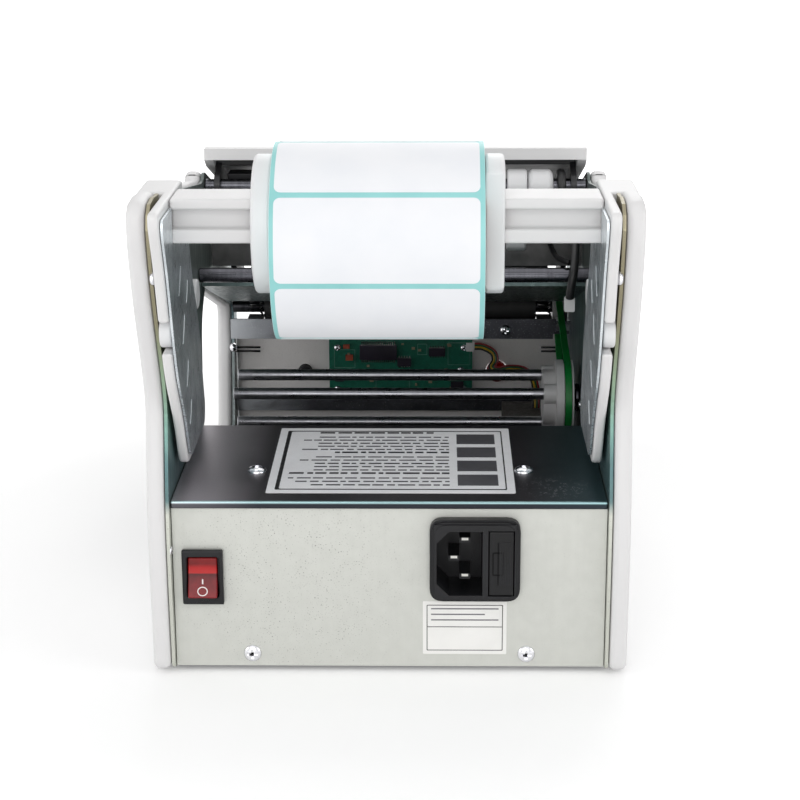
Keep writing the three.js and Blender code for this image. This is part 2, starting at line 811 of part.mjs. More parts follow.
function driveRoller() {
  const shaft = shaftX(driveShaftRadius, -crossHalf, crossHalf, driveY, driveZ, smallSteps);
  place('drive_shaft', shaft, finishes.steel);
  place('drive_roller', turnedX([
    [-driveHalf, driveShaftRadius + gap], [driveHalf, driveShaftRadius + gap],
    [driveHalf, driveRadius], [-driveHalf, driveRadius],
  ], driveY, driveZ), finishes.rubber);
  place('drive_pulley', turnedX([
    [beltLeft - pulleyWall, driveShaftRadius + gap], [crossHalf - gap, driveShaftRadius + gap],
    [crossHalf - gap, feedPulleyRadius], [feedPulleyX, feedPulleyRadius],
    [feedPulleyX, drivePulleyRadius + pulleyRim], [beltRight, drivePulleyRadius + pulleyRim],
    [beltRight, drivePulleyRadius], [beltLeft, drivePulleyRadius],
    [beltLeft, drivePulleyRadius + pulleyRim], [beltLeft - pulleyWall, drivePulleyRadius + pulleyRim],
  ], driveY, driveZ), finishes.greyPlastic);
}

// A flat belt round two pulleys, between an outer and an inner outline
function beltOutline(first, second, extra) {
  const dy = second.y - first.y;
  const dz = second.z - first.z;
  const heading = Math.atan2(dz, dy);
  const lean = Math.acos((first.radius - second.radius) / Math.hypot(dy, dz));
  const outline = arc(
    first.y, first.z, first.radius + extra, heading + lean, heading + 2 * Math.PI - lean, smallSteps);
  outline.push(...arc(second.y, second.z, second.radius + extra, heading - lean, heading + lean, smallSteps));
  return outline;
}

function beltLoop(first, second, thickness, x0, x1) {
  return sidePlate(beltOutline(first, second, thickness), x0, x1, [beltOutline(first, second, 0)]);
}

function rewinder() {
  const bossEnd = hubInnerX + bossWidth;
  const disc = turnedX([
    [bossEnd, axleRadius + gap], [feedPulleyX, axleRadius + gap],
    [feedPulleyX, hubGrooveRadius + hubRim], [beltRight, hubGrooveRadius + hubRim],
    [beltRight, hubGrooveRadius], [beltLeft, hubGrooveRadius],
    [beltLeft, hubGrooveRadius + hubRim], [bossEnd, hubGrooveRadius + hubRim],
  ], rewindY, rewindZ);
  const rodPlaces = [];
  for (let i = 0; i < rodCount; i += 1) {
    const angle = rodFirstAngle + (i / rodCount) * 2 * Math.PI;
    rodPlaces.push([rewindY + rewindCircle * Math.cos(angle), rewindZ + rewindCircle * Math.sin(angle)]);
  }
  const lobes = rodPlaces.map(([y, z]) => shaftX(
    bossLobeRadius, hubInnerX, bossEnd + overrun, y, z, smallSteps));
  const boss = shaftX(rewindCircle, hubInnerX, bossEnd + overrun, rewindY, rewindZ);
  const bore = shaftX(axleRadius + gap, hubInnerX + sheet, feedPulleyX + overrun, rewindY, rewindZ);
  const rodHoles = rodPlaces.map(([y, z]) => shaftX(
    rodRadius + gap, hubInnerX - overrun, bossEnd, y, z, smallSteps));
  place('rewind_hub', cut(join(boss, disc, ...lobes), bore, ...rodHoles), finishes.whitePlastic);
  rodPlaces.forEach(([y, z], i) => {
    const rod = shaftX(rodRadius, rodLeftX, bossEnd - gap, y, z, smallSteps);
    place(`rewind_rod_${i + 1}`, rod, finishes.steel);
  });
  place('rewind_axle', turnedX([
    [hubInnerX + sheet + gap, 0], [crossHalf, 0], [crossHalf, axleFlangeRadius],
    [crossHalf - axleFlange, axleFlangeRadius], [crossHalf - axleFlange, axleRadius],
    [hubInnerX + sheet + gap, axleRadius],
  ], rewindY, rewindZ), finishes.steel);
  place('rewind_belt', beltLoop(
    { y: rewindY, z: rewindZ, radius: hubGrooveRadius + gap },
    { y: driveY, z: driveZ, radius: drivePulleyRadius + gap },
    beltThickness, beltX - beltWidth / 2, beltX + beltWidth / 2), finishes.greenBelt);
}

function feedMotor() {
  const half = motorSide / 2;
  const bodyEnd = beltRight;
  const body = sidePlate(rounded([
    [motorY - half, motorZ - half, motorCorner], [motorY + half, motorZ - half, motorCorner],
    [motorY + half, motorZ + half, motorCorner], [motorY - half, motorZ + half, motorCorner],
  ]), bodyEnd - motorLength, bodyEnd);
  const boss = shaftX(motorBossRadius, bodyEnd - sheet, feedPulleyX - gap, motorY, motorZ, smallSteps);
  const shaft = shaftX(motorShaftRadius, bodyEnd - sheet, crossHalf - gap, motorY, motorZ, smallSteps);
  place('feed_motor', join(body, boss, shaft), finishes.iron);
  place('motor_pulley', turnedX([
    [feedPulleyX, motorShaftRadius + gap], [crossHalf - gap, motorShaftRadius + gap],
    [crossHalf - gap, motorPulleyRadius], [feedPulleyX, motorPulleyRadius],
  ], motorY, motorZ), finishes.greyPlastic);
  const beltMiddle = (feedPulleyX + crossHalf - gap) / 2;
  place('feed_belt', beltLoop(
    { y: motorY, z: motorZ, radius: motorPulleyRadius + gap },
    { y: driveY, z: driveZ, radius: feedPulleyRadius + gap },
    feedBeltThickness, beltMiddle - feedBeltWidth / 2, beltMiddle + feedBeltWidth / 2), finishes.rubber);
}

function crossPieces() {
  const beltSide = beltLeft - pulleyWall;
  const raised = stripBottom + stripBeltNotch;
  const web = facePlate([
    [-crossHalf, stripBottom], [beltSide, stripBottom], [beltSide, raised], [crossHalf, raised],
    [crossHalf, stripTop], [-crossHalf, stripTop],
  ], stripY, stripY + sheet);
  const tabs = [-springX, springX].map((x) => block(
    x - springTabWidth / 2, x + springTabWidth / 2, stripY, stripY + springTabDepth,
    stripTop - sheet, stripTop));
  place('cross_strip_upper', join(web, ...tabs), finishes.zinc);
  place('cross_strip_lower', block(
    -crossHalf, crossHalf, lowerStripY, lowerStripY + sheet,
    lowerStripBottom, lowerStripBottom + lowerStripHeight), finishes.zinc);
  const knobHole = circle(knobX, controlZ, knobShaftRadius + gap, smallSteps);
  const buttonHole = circle(buttonX, controlZ, buttonRadius + gap, smallSteps);
  place('front_panel', facePlate(
    rectangle(-crossHalf, crossHalf, footHeight, frontPanelTop), frontPanelY, panelFace,
    [knobHole, buttonHole]), finishes.greyPlastic);
}

function controlBoard() {
  const boardTop = boardBottom + boardHeight;
  const board = block(
    -boardHalfWidth, boardHalfWidth, boardY, boardY + boardThickness, boardBottom, boardTop);
  const posts = [];
  [boardBottom + postInset, boardTop - postInset].forEach((z) => {
    [-boardHalfWidth + postInset, boardHalfWidth - postInset].forEach((x) => {
      posts.push(shaftY(postRadius, boardY, frontPanelY - gap, x, z, 2 * cornerSteps));
    });
  });
  const chip = block(
    chipX - chipWidth / 2, chipX + chipWidth / 2, boardY - chipThickness, boardY + boardThickness / 2,
    chipZ - chipHeight / 2, chipZ + chipHeight / 2);
  place('control_board', join(board, chip, ...posts), finishes.board);
}

// Coil springs between the strip's tabs and the bed: each is one unbroken tube with straight ends
function springLine(x) {
  const floor = stripTop + gap;
  const ceiling = bedFlatZ - bedThickness - gap;
  const pitch = (ceiling - floor - 2 * springWire) / springTurns;
  const line = [new THREE.Vector3(x + springRadius, springY, floor)];
  for (let i = 0; i <= springTurns * turnSteps; i += 1) {
    const angle = (i / turnSteps) * 2 * Math.PI;
    line.push(new THREE.Vector3(
      x + springRadius * Math.cos(angle), springY + springRadius * Math.sin(angle),
      floor + springWire + (i / turnSteps) * pitch));
  }
  line.push(new THREE.Vector3(x + springRadius, springY, ceiling));
  return line;
}

function wireAlong(line, x) {
  const positions = [];
  const index = [];
  const up = new THREE.Vector3(0, 0, 1);
  const last = line.length - 1;
  line.forEach((spot, i) => {
    const isEnd = i === 0 || i === last;
    const along = isEnd ? up.clone() : line[i + 1].clone().sub(line[i - 1]).normalize();
    const outward = new THREE.Vector3(spot.x - x, spot.y - springY, 0).normalize();
    const side = new THREE.Vector3().crossVectors(along, outward).normalize();
    const lift = new THREE.Vector3().crossVectors(side, along).normalize();
    for (let k = 0; k < wireSides; k += 1) {
      const angle = (k / wireSides) * 2 * Math.PI;
      const point = spot.clone()
        .addScaledVector(lift, (springWire / 2) * Math.cos(angle))
        .addScaledVector(side, (springWire / 2) * Math.sin(angle));
      positions.push(point.x, point.y, point.z);
    }
  });
  for (let i = 0; i < last; i += 1) {
    for (let k = 0; k < wireSides; k += 1) {
      const next = (k + 1) % wireSides;
      const a = i * wireSides + k;
      const b = i * wireSides + next;
      index.push(a, b, b + wireSides, a, b + wireSides, a + wireSides);
    }
  }
  const end = last * wireSides;
  for (let k = 1; k < wireSides - 1; k += 1) {
    index.push(0, k + 1, k);
    index.push(end, end + k, end + k + 1);
  }
  const geometry = new THREE.BufferGeometry();
  geometry.setAttribute('position', new THREE.Float32BufferAttribute(positions, 3));
  geometry.setIndex(index);
  return geometry;
}

function leastCoilGap(line) {
  let least = Infinity;
  line.forEach((spot, i) => {
    line.slice(i + turnSteps / 2).forEach((other) => {
      least = Math.min(least, spot.distanceTo(other) - springWire);
    });
  });
  return least;
}

function pressSprings() {
  Object.entries({ bed_spring_left: -springX, bed_spring_right: springX }).forEach(([name, x]) => {
    const line = springLine(x);
    place(name, wireAlong(line, x), finishes.springBlack);
    console.log(`${name}: least gap between its coils ${leastCoilGap(line).toFixed(2)} mm`);
  });
}

// Roll holder: shares of the arm's depth and height, and of its corner rounding
const armShares = [
  [0.53, 0, 1], [0.49, 0.052, 1], [0.412, 0.193, 1], [0.255, 0.373, 1], [0.186, 0.514, 1],
  [0.118, 0.7, 1], [0.074, 0.809, 1], [0.043, 0.869, 1], [0, 0.95, 1], [0, 1, 1], [0.549, 1, 0.3],
  [0.588, 0.95, 1], [0.691, 0.761, 1], [0.745, 0.625, 1], [0.814, 0.538, 1], [0.922, 0.363, 1],
  [0.961, 0.175, 1], [1, 0.066, 1], [0.97, 0, 1],
];

function armOutline(inset) {
  const deep = armFrontY - armRearY - 2 * inset;
  const tall = armTop - armBottom - 2 * inset;
  return rounded(armShares.map(([yShare, zShare, cornerShare]) => [
    armRearY + inset + yShare * deep, armBottom + inset + zShare * tall, cornerShare * armCorner]));
}

function pegNotch() {
  const reach = pegRadius + gap;
  return join(
    shaftX(reach, -halfWidth, halfWidth, rearPegY, rearPegZ),
    block(-halfWidth, halfWidth, armRearY, rearPegY, rearPegZ - reach, rearPegZ + reach));
}

function rollHolder() {
  const notch = pegNotch();
  const barHole = block(
    -halfWidth, halfWidth, -barHalfDepth - gap, barHalfDepth + gap,
    armTop - barHeight - gap, armTop + overrun);
  [['left', -1], ['right', 1]].forEach(([word, side]) => {
    const between = (outline, a, b) => sidePlate(
      outline, Math.min(side * a, side * b), Math.max(side * a, side * b));
    const tab = between(rectangle(tabRearY, tabRearY + tabDepth, tabBottom, armTop), armInner, halfWidth);
    const plate = join(between(armOutline(0), armInner, armOuter), tab);
    place(`holder_arm_${word}`, cut(plate, notch), finishes.whitePlastic);
    const liner = between(armOutline(linerInset), armInner - gap - linerThickness, armInner - gap);
    place(`arm_liner_${word}`, cut(liner, barHole), finishes.zinc);
    const pegPlaces = { rear_peg: [rearPegY, rearPegZ], front_peg: [frontPegY, frontPegZ] };
    Object.entries(pegPlaces).forEach(([name, [y, z]]) => {
      const inner = side * (crossHalf - pegLength);
      const outer = side * crossHalf;
      place(`${name}_${word}`, shaftX(pegRadius, Math.min(inner, outer), Math.max(inner, outer), y, z),
        finishes.whitePlastic);
    });
  });
  const bottom = armTop - barHeight;
  const barOutline = [
    [-barHalfDepth, bottom], [barHalfDepth, bottom], [barHalfDepth, armTop], [-barHalfDepth, armTop],
    [-barHalfDepth, armTop - barRib], [-barHalfDepth + barChannel, armTop - barRib],
    [-barHalfDepth + barChannel, bottom + barLowerRib], [-barHalfDepth, bottom + barLowerRib],
  ];
  place('roll_bar', sidePlate(barOutline, -barHalfLength, barHalfLength), finishes.whitePlastic);
}

function labelRoll() {
  const ring = (inner, outer) => turnedX([
    [rollLeftX, inner], [rollRightX, inner], [rollRightX, outer], [rollLeftX, outer],
  ], rollY, rollZ, roundSteps + smallSteps);
  place('roll_core', ring(coreInner, coreOuter), finishes.card);
  place('label_roll', ring(coreOuter + gap, rollRadius), finishes.label);
  // One half-round moulding, used twice: the left one has its round side to the rear
  const turn = Math.acos(guideFlat / guideRadius);
  const hole = rectangle(-barHalfDepth - gap, barHalfDepth + gap, armTop - barHeight - gap, armTop + gap);
  const leftOutline = arc(0, guideCentreZ, guideRadius, turn, 2 * Math.PI - turn, roundSteps);
  const rightOutline = arc(0, guideCentreZ, guideRadius, turn - Math.PI, Math.PI - turn, roundSteps);
  const leftX = rollLeftX - guideSideGap;
  const rightX = rollRightX + guideSideGap;
  const leftGuide = sidePlate(leftOutline, leftX - guideWidth, leftX, [hole]);
  place('roll_guide_left', leftGuide, finishes.whitePlastic);
  const rightGuide = sidePlate(rightOutline, rightX, rightX + guideWidth, [hole]);
  place('roll_guide_right', rightGuide, finishes.whitePlastic);
}

function frontControls() {
  const face = panelFace + gap;
  place('speed_knob', join(
    shaftY(knobRadius, face, face + knobLength, knobX, controlZ, roundSteps),
    shaftY(knobShaftRadius, frontPanelY - knobShaftLength, face + knobLength / 2, knobX, controlZ)),
  finishes.blackPlastic);
  const buttonFace = panelFace + buttonProud;
  const button = shaftY(buttonRadius, buttonFace - buttonLength, buttonFace, buttonX, controlZ, roundSteps);
  place('feed_button', button, finishes.redClear);
}

// Cable routes, each held along its whole way
const ribbonRoute = [
  [34.6, 235.2, 61], [39.2, 234.9, 60.8], [44, 233.4, 58.5], [45, 232, 55], [43.5, 231, 52],
  [46.5, 230, 50.6], [52, 229.5, 51.8], [58, 228.5, 51.4], [62.5, 225.5, 48.5],
  [64, 221, 44], [64, 217.8, 39.6], [64, 217, 35.9],
];
const sensorCableRoute = [
  [68.4, 148, 148.5], [68.4, 145.6, 152], [68.4, 142.6, 158.5], [68.4, 138.6, 161.4], [68.4, 134.2, 161.5],
  [68.5, 130.9, 158.4], [69, 130, 154], [70.6, 127.5, 149.4], [72.6, 121, 144], [73, 112, 139],
  [72.6, 104.4, 134], [71.9, 100.4, 127.5], [70.9, 101.2, 120.5], [70.7, 102.2, 117],
];
const ribbonSteps = 26;
const sensorCableSteps = 34;

function cables() {
  place('ribbon_cable', tubeAlong(ribbonRoute, ribbonRadius, ribbonSteps), finishes.cable);
  const [endX, endY, endZ] = sensorCableRoute.at(-1);
  const plug = block(
    endX - plugWidth / 2, endX + plugWidth / 2, endY - plugDepth / 2, endY + plugDepth / 2,
    endZ - plugHeight, endZ + sheet);
  const sensorCable = join(tubeAlong(sensorCableRoute, cableRadius, sensorCableSteps), plug);
  place('sensor_cable', sensorCable, finishes.cable);
}

sideCovers();
baseAndFeet();
powerBox();
powerInlet();
powerSwitch();
labelBed();
guideShafts();
labelGuides();
guidePlateAndSensor();
hood();
pressFrame();
driveRoller();
rewinder();
feedMotor();
crossPieces();
controlBoard();
pressSprings();
rollHolder();
labelRoll();
frontControls();
cables();

const group = new THREE.Group();
machine.position.set(0, -middleY, 0);
group.add(machine);

export default group;
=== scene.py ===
import json
import math
import random

import bmesh
import bpy
from mathutils import Matrix, Vector

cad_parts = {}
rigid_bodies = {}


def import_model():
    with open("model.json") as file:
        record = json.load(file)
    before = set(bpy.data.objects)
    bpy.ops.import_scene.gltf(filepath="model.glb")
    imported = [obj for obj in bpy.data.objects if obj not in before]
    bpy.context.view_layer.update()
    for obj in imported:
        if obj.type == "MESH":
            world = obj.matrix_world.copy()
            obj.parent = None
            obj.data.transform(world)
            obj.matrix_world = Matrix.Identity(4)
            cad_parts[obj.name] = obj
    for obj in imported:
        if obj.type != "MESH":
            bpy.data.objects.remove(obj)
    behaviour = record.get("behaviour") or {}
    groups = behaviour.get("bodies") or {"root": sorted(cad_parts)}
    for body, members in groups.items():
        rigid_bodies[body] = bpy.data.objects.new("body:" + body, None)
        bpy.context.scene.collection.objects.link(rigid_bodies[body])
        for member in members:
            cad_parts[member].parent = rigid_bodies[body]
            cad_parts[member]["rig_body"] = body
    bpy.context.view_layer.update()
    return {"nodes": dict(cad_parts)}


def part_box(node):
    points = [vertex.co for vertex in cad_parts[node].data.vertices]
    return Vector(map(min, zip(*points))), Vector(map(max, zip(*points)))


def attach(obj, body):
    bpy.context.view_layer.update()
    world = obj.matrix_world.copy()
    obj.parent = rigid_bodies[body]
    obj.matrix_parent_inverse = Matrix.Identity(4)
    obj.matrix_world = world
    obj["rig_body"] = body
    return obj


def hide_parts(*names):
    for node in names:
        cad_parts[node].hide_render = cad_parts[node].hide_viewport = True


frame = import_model()
nodes = frame["nodes"]
mm = 0.001
bodyOf = {name: node["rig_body"] for name, node in nodes.items()}


# Camera: where the photograph was taken from
shot = {"place": (0.0171, -0.7596, 0.3002), "lens": 86.8, "pitch": 16.64, "yaw": -1.13, "roll": -0.26}


def makeCamera():
    data = bpy.data.cameras.new("camera")
    data.sensor_width = 36
    data.lens = shot["lens"]
    data.clip_start = 0.01
    item = bpy.data.objects.new("camera", data)
    bpy.context.scene.collection.objects.link(item)
    turn = Matrix.Rotation(math.radians(shot["roll"]), 3, "Z")
    tilt = Matrix.Rotation(math.radians(shot["pitch"]), 3, "X")
    swing = Matrix.Rotation(math.radians(shot["yaw"]), 3, "Z")
    base = Matrix(((1, 0, 0), (0, 0, -1), (0, 1, 0)))
    right, down, ahead = turn @ tilt @ base @ swing
    pose = Matrix((right, -down, -ahead)).transposed().to_4x4()
    pose.translation = Vector(shot["place"])
    item.matrix_world = pose
    bpy.context.scene.camera = item


makeCamera()
print("camera is set")


rearPlateY = -105  # where the rear plate stands along the frame's Y, in millimetres


# A place in the machine's own millimetres, from its rear plate, as the frame's metres
def row(x, y, z):
    return Vector((x * mm, (y + rearPlateY) * mm, z * mm))


# Small helpers for nodes, colours and meshes
def colour(text):
    parts = [int(text[i:i + 2], 16) / 255 for i in (1, 3, 5)]
    return tuple(c / 12.92 if c <= 0.04045 else ((c + 0.055) / 1.055) ** 2.4 for c in parts) + (1.0,)


def addNode(tree, kind, inputs=None, **settings):
    node = tree.nodes.new(kind)
    for key, value in settings.items():
        setattr(node, key, value)
    for key, value in (inputs or {}).items():
        for one in value if isinstance(value, list) else [value]:
            if isinstance(one, bpy.types.NodeSocket):
                tree.links.new(one, node.inputs[key])
            else:
                node.inputs[key].default_value = one
    return node


def newMaterial(name, tint, roughness, metallic=0.0, **values):
    material = bpy.data.materials.new(name)
    material.use_nodes = True
    tree = material.node_tree
    shader = tree.nodes["Principled BSDF"]
    shader.inputs["Base Color"].default_value = colour(tint)
    shader.inputs["Roughness"].default_value = roughness
    shader.inputs["Metallic"].default_value = metallic
    for key, value in values.items():
        shader.inputs[key.replace("_", " ")].default_value = value
    material.diffuse_color = colour(tint)
    return material, tree, shader


def objectPoints(tree, scale=(1, 1, 1)):
    where = addNode(tree, "ShaderNodeTexCoord")
    return addNode(tree, "ShaderNodeMapping", {"Vector": where.outputs["Object"], "Scale": scale}).outputs[0]


def noise(tree, points, size, detail=2.0):
    inputs = {"Vector": points, "Scale": 1 / size, "Detail": detail}
    return addNode(tree, "ShaderNodeTexNoise", inputs).outputs[0]


def ramp(tree, factor, stops):
    node = addNode(tree, "ShaderNodeValToRGB", {"Fac": factor})
    marks = node.color_ramp.elements
    while len(marks) < len(stops):
        marks.new(0.5)
    for mark, (place, tint) in zip(marks, stops):
        mark.position = place
        mark.color = colour(tint) if isinstance(tint, str) else (tint, tint, tint, 1)
    return node.outputs["Color"]


def mixColour(tree, factor, a, b, kind="MIX"):
    node = addNode(tree, "ShaderNodeMix", {0: factor, 6: a, 7: b}, data_type="RGBA", blend_type=kind)
    return node.outputs[2]


def calc(tree, operation, a, b):
    return addNode(tree, "ShaderNodeMath", {0: a, 1: b}, operation=operation).outputs[0]


def mapped(tree, value, low, high, first=0.0, last=1.0):
    limits = {"Value": value, "From Min": low, "From Max": high, "To Min": first, "To Max": last}
    return addNode(tree, "ShaderNodeMapRange", limits).outputs[0]


def along(tree, points, axis):
    return addNode(tree, "ShaderNodeSeparateXYZ", {0: points}).outputs[axis]


def distance(tree, points, middle):
    return addNode(tree, "ShaderNodeVectorMath", {0: points, 1: middle}, operation="DISTANCE").outputs["Value"]


# How far the points lie from a line along X
def fromLine(tree, points, y, z):
    flat = addNode(tree, "ShaderNodeVectorMath", {0: points, 1: (0, 1, 1)}, operation="MULTIPLY").outputs[0]
    return distance(tree, flat, (0, y, z))


# Links what a finish has made: its colour, its gloss, and a bump as (height, strength, distance)
def finish(tree, shader, tint, gloss=None, bump=None):
    tree.links.new(tint, shader.inputs["Base Color"])
    if gloss:
        tree.links.new(gloss, shader.inputs["Roughness"])
    if bump:
        height, strength, reach = bump
        node = addNode(tree, "ShaderNodeBump", {"Height": height, "Strength": strength, "Distance": reach})
        tree.links.new(node.outputs[0], shader.inputs["Normal"])


# Moulded plastics: faint cloudiness, fine grain and slightly uneven gloss
def plastic(name, light, dark, roughness, grain=0.3 * mm, depth=0.012 * mm, uneven=1.0, **values):
    material, tree, shader = newMaterial(name, light, roughness, **values)
    points = objectPoints(tree)
    tint = ramp(tree, noise(tree, points, 22 * mm, 3), [(0.35, dark), (0.62, light)])
    gloss = ramp(tree, noise(tree, points, 9 * mm), [
        (0.3, roughness - 0.05 * uneven), (0.7, roughness + 0.07 * uneven)])
    finish(tree, shader, tint, gloss, (noise(tree, points, grain, 1), 0.35, depth))
    return material


# Plated or painted sheet: crystal patches, fine specks and brushing in one direction
def sheetMetal(name, light, dark, metallic, roughness, brushed=(1, 1, 1), speck="#4a4a48", specks=0.3,
               rise=None, innerShade=None, clusters=None):
    material, tree, shader = newMaterial(name, light, roughness, metallic)
    points = objectPoints(tree)
    tint = ramp(tree, noise(tree, points, 5 * mm, 4), [(0.3, dark), (0.7, light)])
    if rise:  # colours that follow one axis
        axis, low, high, stops = rise
        share = mapped(tree, along(tree, points, axis), low, high)
        tint = mixColour(tree, 0.85, tint, ramp(tree, share, stops))
    # Painted shade: darker further inside the machine, standing in for the dark interior the sheet reflects
    if innerShade:  # another colour further inside the machine
        inside = mapped(tree, along(tree, points, 1), -0.1, -0.05, 0.0, 0.8)
        tint = mixColour(tree, inside, tint, colour(innerShade))
    spots = ramp(tree, noise(tree, points, 0.55 * mm, 1), [(0.64, 0.0), (0.74, specks)])
    if clusters:  # specks gather round one place and thin out from it
        middle, reach = clusters
        thin = mapped(tree, distance(tree, points, middle), reach * 0.45, reach, 1.0, 0.12)
        patchy = ramp(tree, noise(tree, points, 7 * mm, 3), [(0.38, 0.15), (0.56, 1.0)])
        spots = mixColour(tree, 1.0, mixColour(tree, 1.0, spots, patchy, "MULTIPLY"), thin, "MULTIPLY")
    streaks = noise(tree, objectPoints(tree, brushed), 1.5 * mm, 3)
    gloss = ramp(tree, streaks, [(0.3, roughness - 0.08), (0.7, roughness + 0.12)])
    finish(tree, shader, mixColour(tree, spots, tint, colour(speck)), gloss, (streaks, 0.3, 0.01 * mm))
    return material


# Turned or drawn bars: rings along their length and a dark polish
def polished(name, light, dark, roughness, ringSize=1.2 * mm):
    material, tree, shader = newMaterial(name, light, roughness, 1.0)
    rings = noise(tree, objectPoints(tree, (1, 0.02, 0.02)), ringSize, 4)
    tint = ramp(tree, rings, [(0.3, dark), (0.7, light)])
    gloss = ramp(tree, noise(tree, objectPoints(tree), 6 * mm), [
        (0.3, roughness - 0.05), (0.75, roughness + 0.1)])
    finish(tree, shader, tint, gloss, (rings, 0.2, 0.004 * mm))
    return material


# Mirror-like arm liners with long pale streaks and patchy gloss
def rubbedMirror(name, light, dark):
    material, tree, shader = newMaterial(name, light, 0.16, 0.8)
    points = objectPoints(tree)
    tint = ramp(tree, noise(tree, points, 14 * mm, 4), [(0.3, dark), (0.68, light)])
    long = noise(tree, objectPoints(tree, (1, 3, 0.22)), 2.2 * mm, 5)
    lines = ramp(tree, long, [(0.62, 0.0), (0.66, 0.55), (0.7, 0.0)])
    gloss = ramp(tree, long, [(0.3, 0.2), (0.72, 0.44)])
    finish(tree, shader, mixColour(tree, lines, tint, colour("#f2f5f6")), gloss,
           (noise(tree, points, 16 * mm, 2), 0.4, 0.06 * mm))
    return material


# The dark box top: paler at its left end, which is painted reflection, with a painted highlight along the bend
# at the rear, painted shade on the lip, and a scratched place
boxTop = {"bend": (0.5 * mm, 1.1 * mm), "lip": (1.1 * mm, 0.6 * mm), "scratched": (0.061, row(0, 15, 0).y),
          "scratchReach": (5 * mm, 15 * mm)}


def topFinish(low, high):
    material, tree, shader = newMaterial("topZinc", "#3c3a3e", 0.32, 0.75)
    points = objectPoints(tree)
    # Painted reflection: paler towards the left end
    tint = ramp(tree, mapped(tree, along(tree, points, 0), low.x, high.x), [
        (0.0, "#c9c3c9"), (0.1, "#a8a2a8"), (0.2, "#4b484c"), (0.82, "#3a383c"), (0.94, "#405257"),
        (1.0, "#4a6268")])
    grain = noise(tree, points, 0.6 * mm, 2)
    tint = mixColour(tree, ramp(tree, grain, [(0.6, 0.0), (0.72, 0.35)]), tint, colour("#77797e"))
    # Painted highlight: a bright line along the rear bend
    bend = mapped(tree, fromLine(tree, points, low.y, high.z), *boxTop["bend"], 0.6, 0.0)
    tint = mixColour(tree, bend, tint, colour("#a9cfd1"))
    lipStart, lipStop = (high.z - drop for drop in boxTop["lip"])
    # Painted shade: the lip below the bend darkened
    lip = mapped(tree, along(tree, points, 2), lipStart, lipStop, 0.85, 0.0)
    tint = mixColour(tree, lip, tint, colour("#23272e"))
    away = distance(tree, points, (*boxTop["scratched"], high.z))
    near = mapped(tree, away, *boxTop["scratchReach"], 0.75, 0.0)
    scratches = ramp(tree, noise(tree, objectPoints(tree, (1, 0.5, 1)), 1.6 * mm, 5), [
        (0.585, 0.0), (0.6, 1.0), (0.615, 0.0)])
    drawn = mixColour(tree, 1.0, scratches, near, "MULTIPLY")
    gloss = ramp(tree, noise(tree, points, 30 * mm, 2), [(0.3, 0.28), (0.7, 0.38)])
    finish(tree, shader, mixColour(tree, drawn, tint, colour("#dfe3e4")), gloss, (grain, 0.15, 0.01 * mm))
    return material


def boardFinish():
    material, tree, shader = newMaterial("boardGreen", "#0f5a49", 0.32, Coat_Weight=0.35, Coat_Roughness=0.2)
    bricks = addNode(tree, "ShaderNodeTexBrick", {
        "Vector": objectPoints(tree, (1, 0, 1)), "Scale": 130.0, "Mortar Size": 0.012,
        "Color1": colour("#0f5847"), "Color2": colour("#0c4c3f"), "Mortar": colour("#21765e")})
    wander = noise(tree, objectPoints(tree), 3.5 * mm, 2)
    tracks = ramp(tree, wander, [(0.47, "#0c473c"), (0.5, "#1e6c57"), (0.53, "#0f5345")])
    finish(tree, shader, mixColour(tree, 0.5, bricks.outputs[0], tracks), bump=(wander, 0.25, 0.03 * mm))
    return material


def paperFinish(name, light, dark, roughness):
    material, tree, shader = newMaterial(name, light, roughness)
    points = objectPoints(tree)
    tint = ramp(tree, noise(tree, points, 18 * mm, 3), [(0.3, dark), (0.65, light)])
    finish(tree, shader, tint, bump=(noise(tree, points, 0.35 * mm, 3), 0.2, 0.01 * mm))
    return material


# The wound sides of the roll: rings of white paper and blue liner
def woundFinish(centre):
    material, tree, shader = newMaterial("woundEdge", "#cdeeed", 0.6)
    reach = fromLine(tree, objectPoints(tree), centre.y, centre.z)
    across = addNode(tree, "ShaderNodeCombineXYZ", {0: reach}).outputs[0]
    rings = noise(tree, across, 0.35 * mm, 2)
    tint = ramp(tree, rings, [(0.35, "#9adfdc"), (0.55, "#e6f6f6"), (0.7, "#bfeceb")])
    finish(tree, shader, tint, bump=(rings, 0.5, 0.05 * mm))
    return material


# The rocker's red, with painted light and shade: bright in its upper half, painted shade deep in its lower
# half
redLightAndShade = {"low": 0.029, "high": 0.046, "stops": [
    (0.0, "#7c0c14"), (0.5, "#61080f"), (0.58, "#480507"), (0.61, "#b41212"), (0.72, "#a80d0d"),
    (0.8, "#6e0607"), (1.0, "#8e0b0d")]}


def clearRed():
    material, tree, shader = newMaterial("redClear", "#900c11", 0.22, Specular_IOR_Level=0.22,
                                         Coat_Weight=0.12, Coat_Roughness=0.08)
    points = objectPoints(tree)
    # Painted light and shade by height across the rocker
    share = mapped(tree, along(tree, points, 2), redLightAndShade["low"], redLightAndShade["high"])
    tint = ramp(tree, share, redLightAndShade["stops"])
    swirl = noise(tree, points, 4 * mm, 2)
    tint = mixColour(tree, ramp(tree, swirl, [(0.45, 0.0), (0.75, 0.12)]), tint, colour("#c0262c"))
    finish(tree, shader, tint, bump=(swirl, 0.15, 0.05 * mm))
    return material


rollLow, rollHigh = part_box("label_roll")
rollCentre = (rollLow + rollHigh) / 2

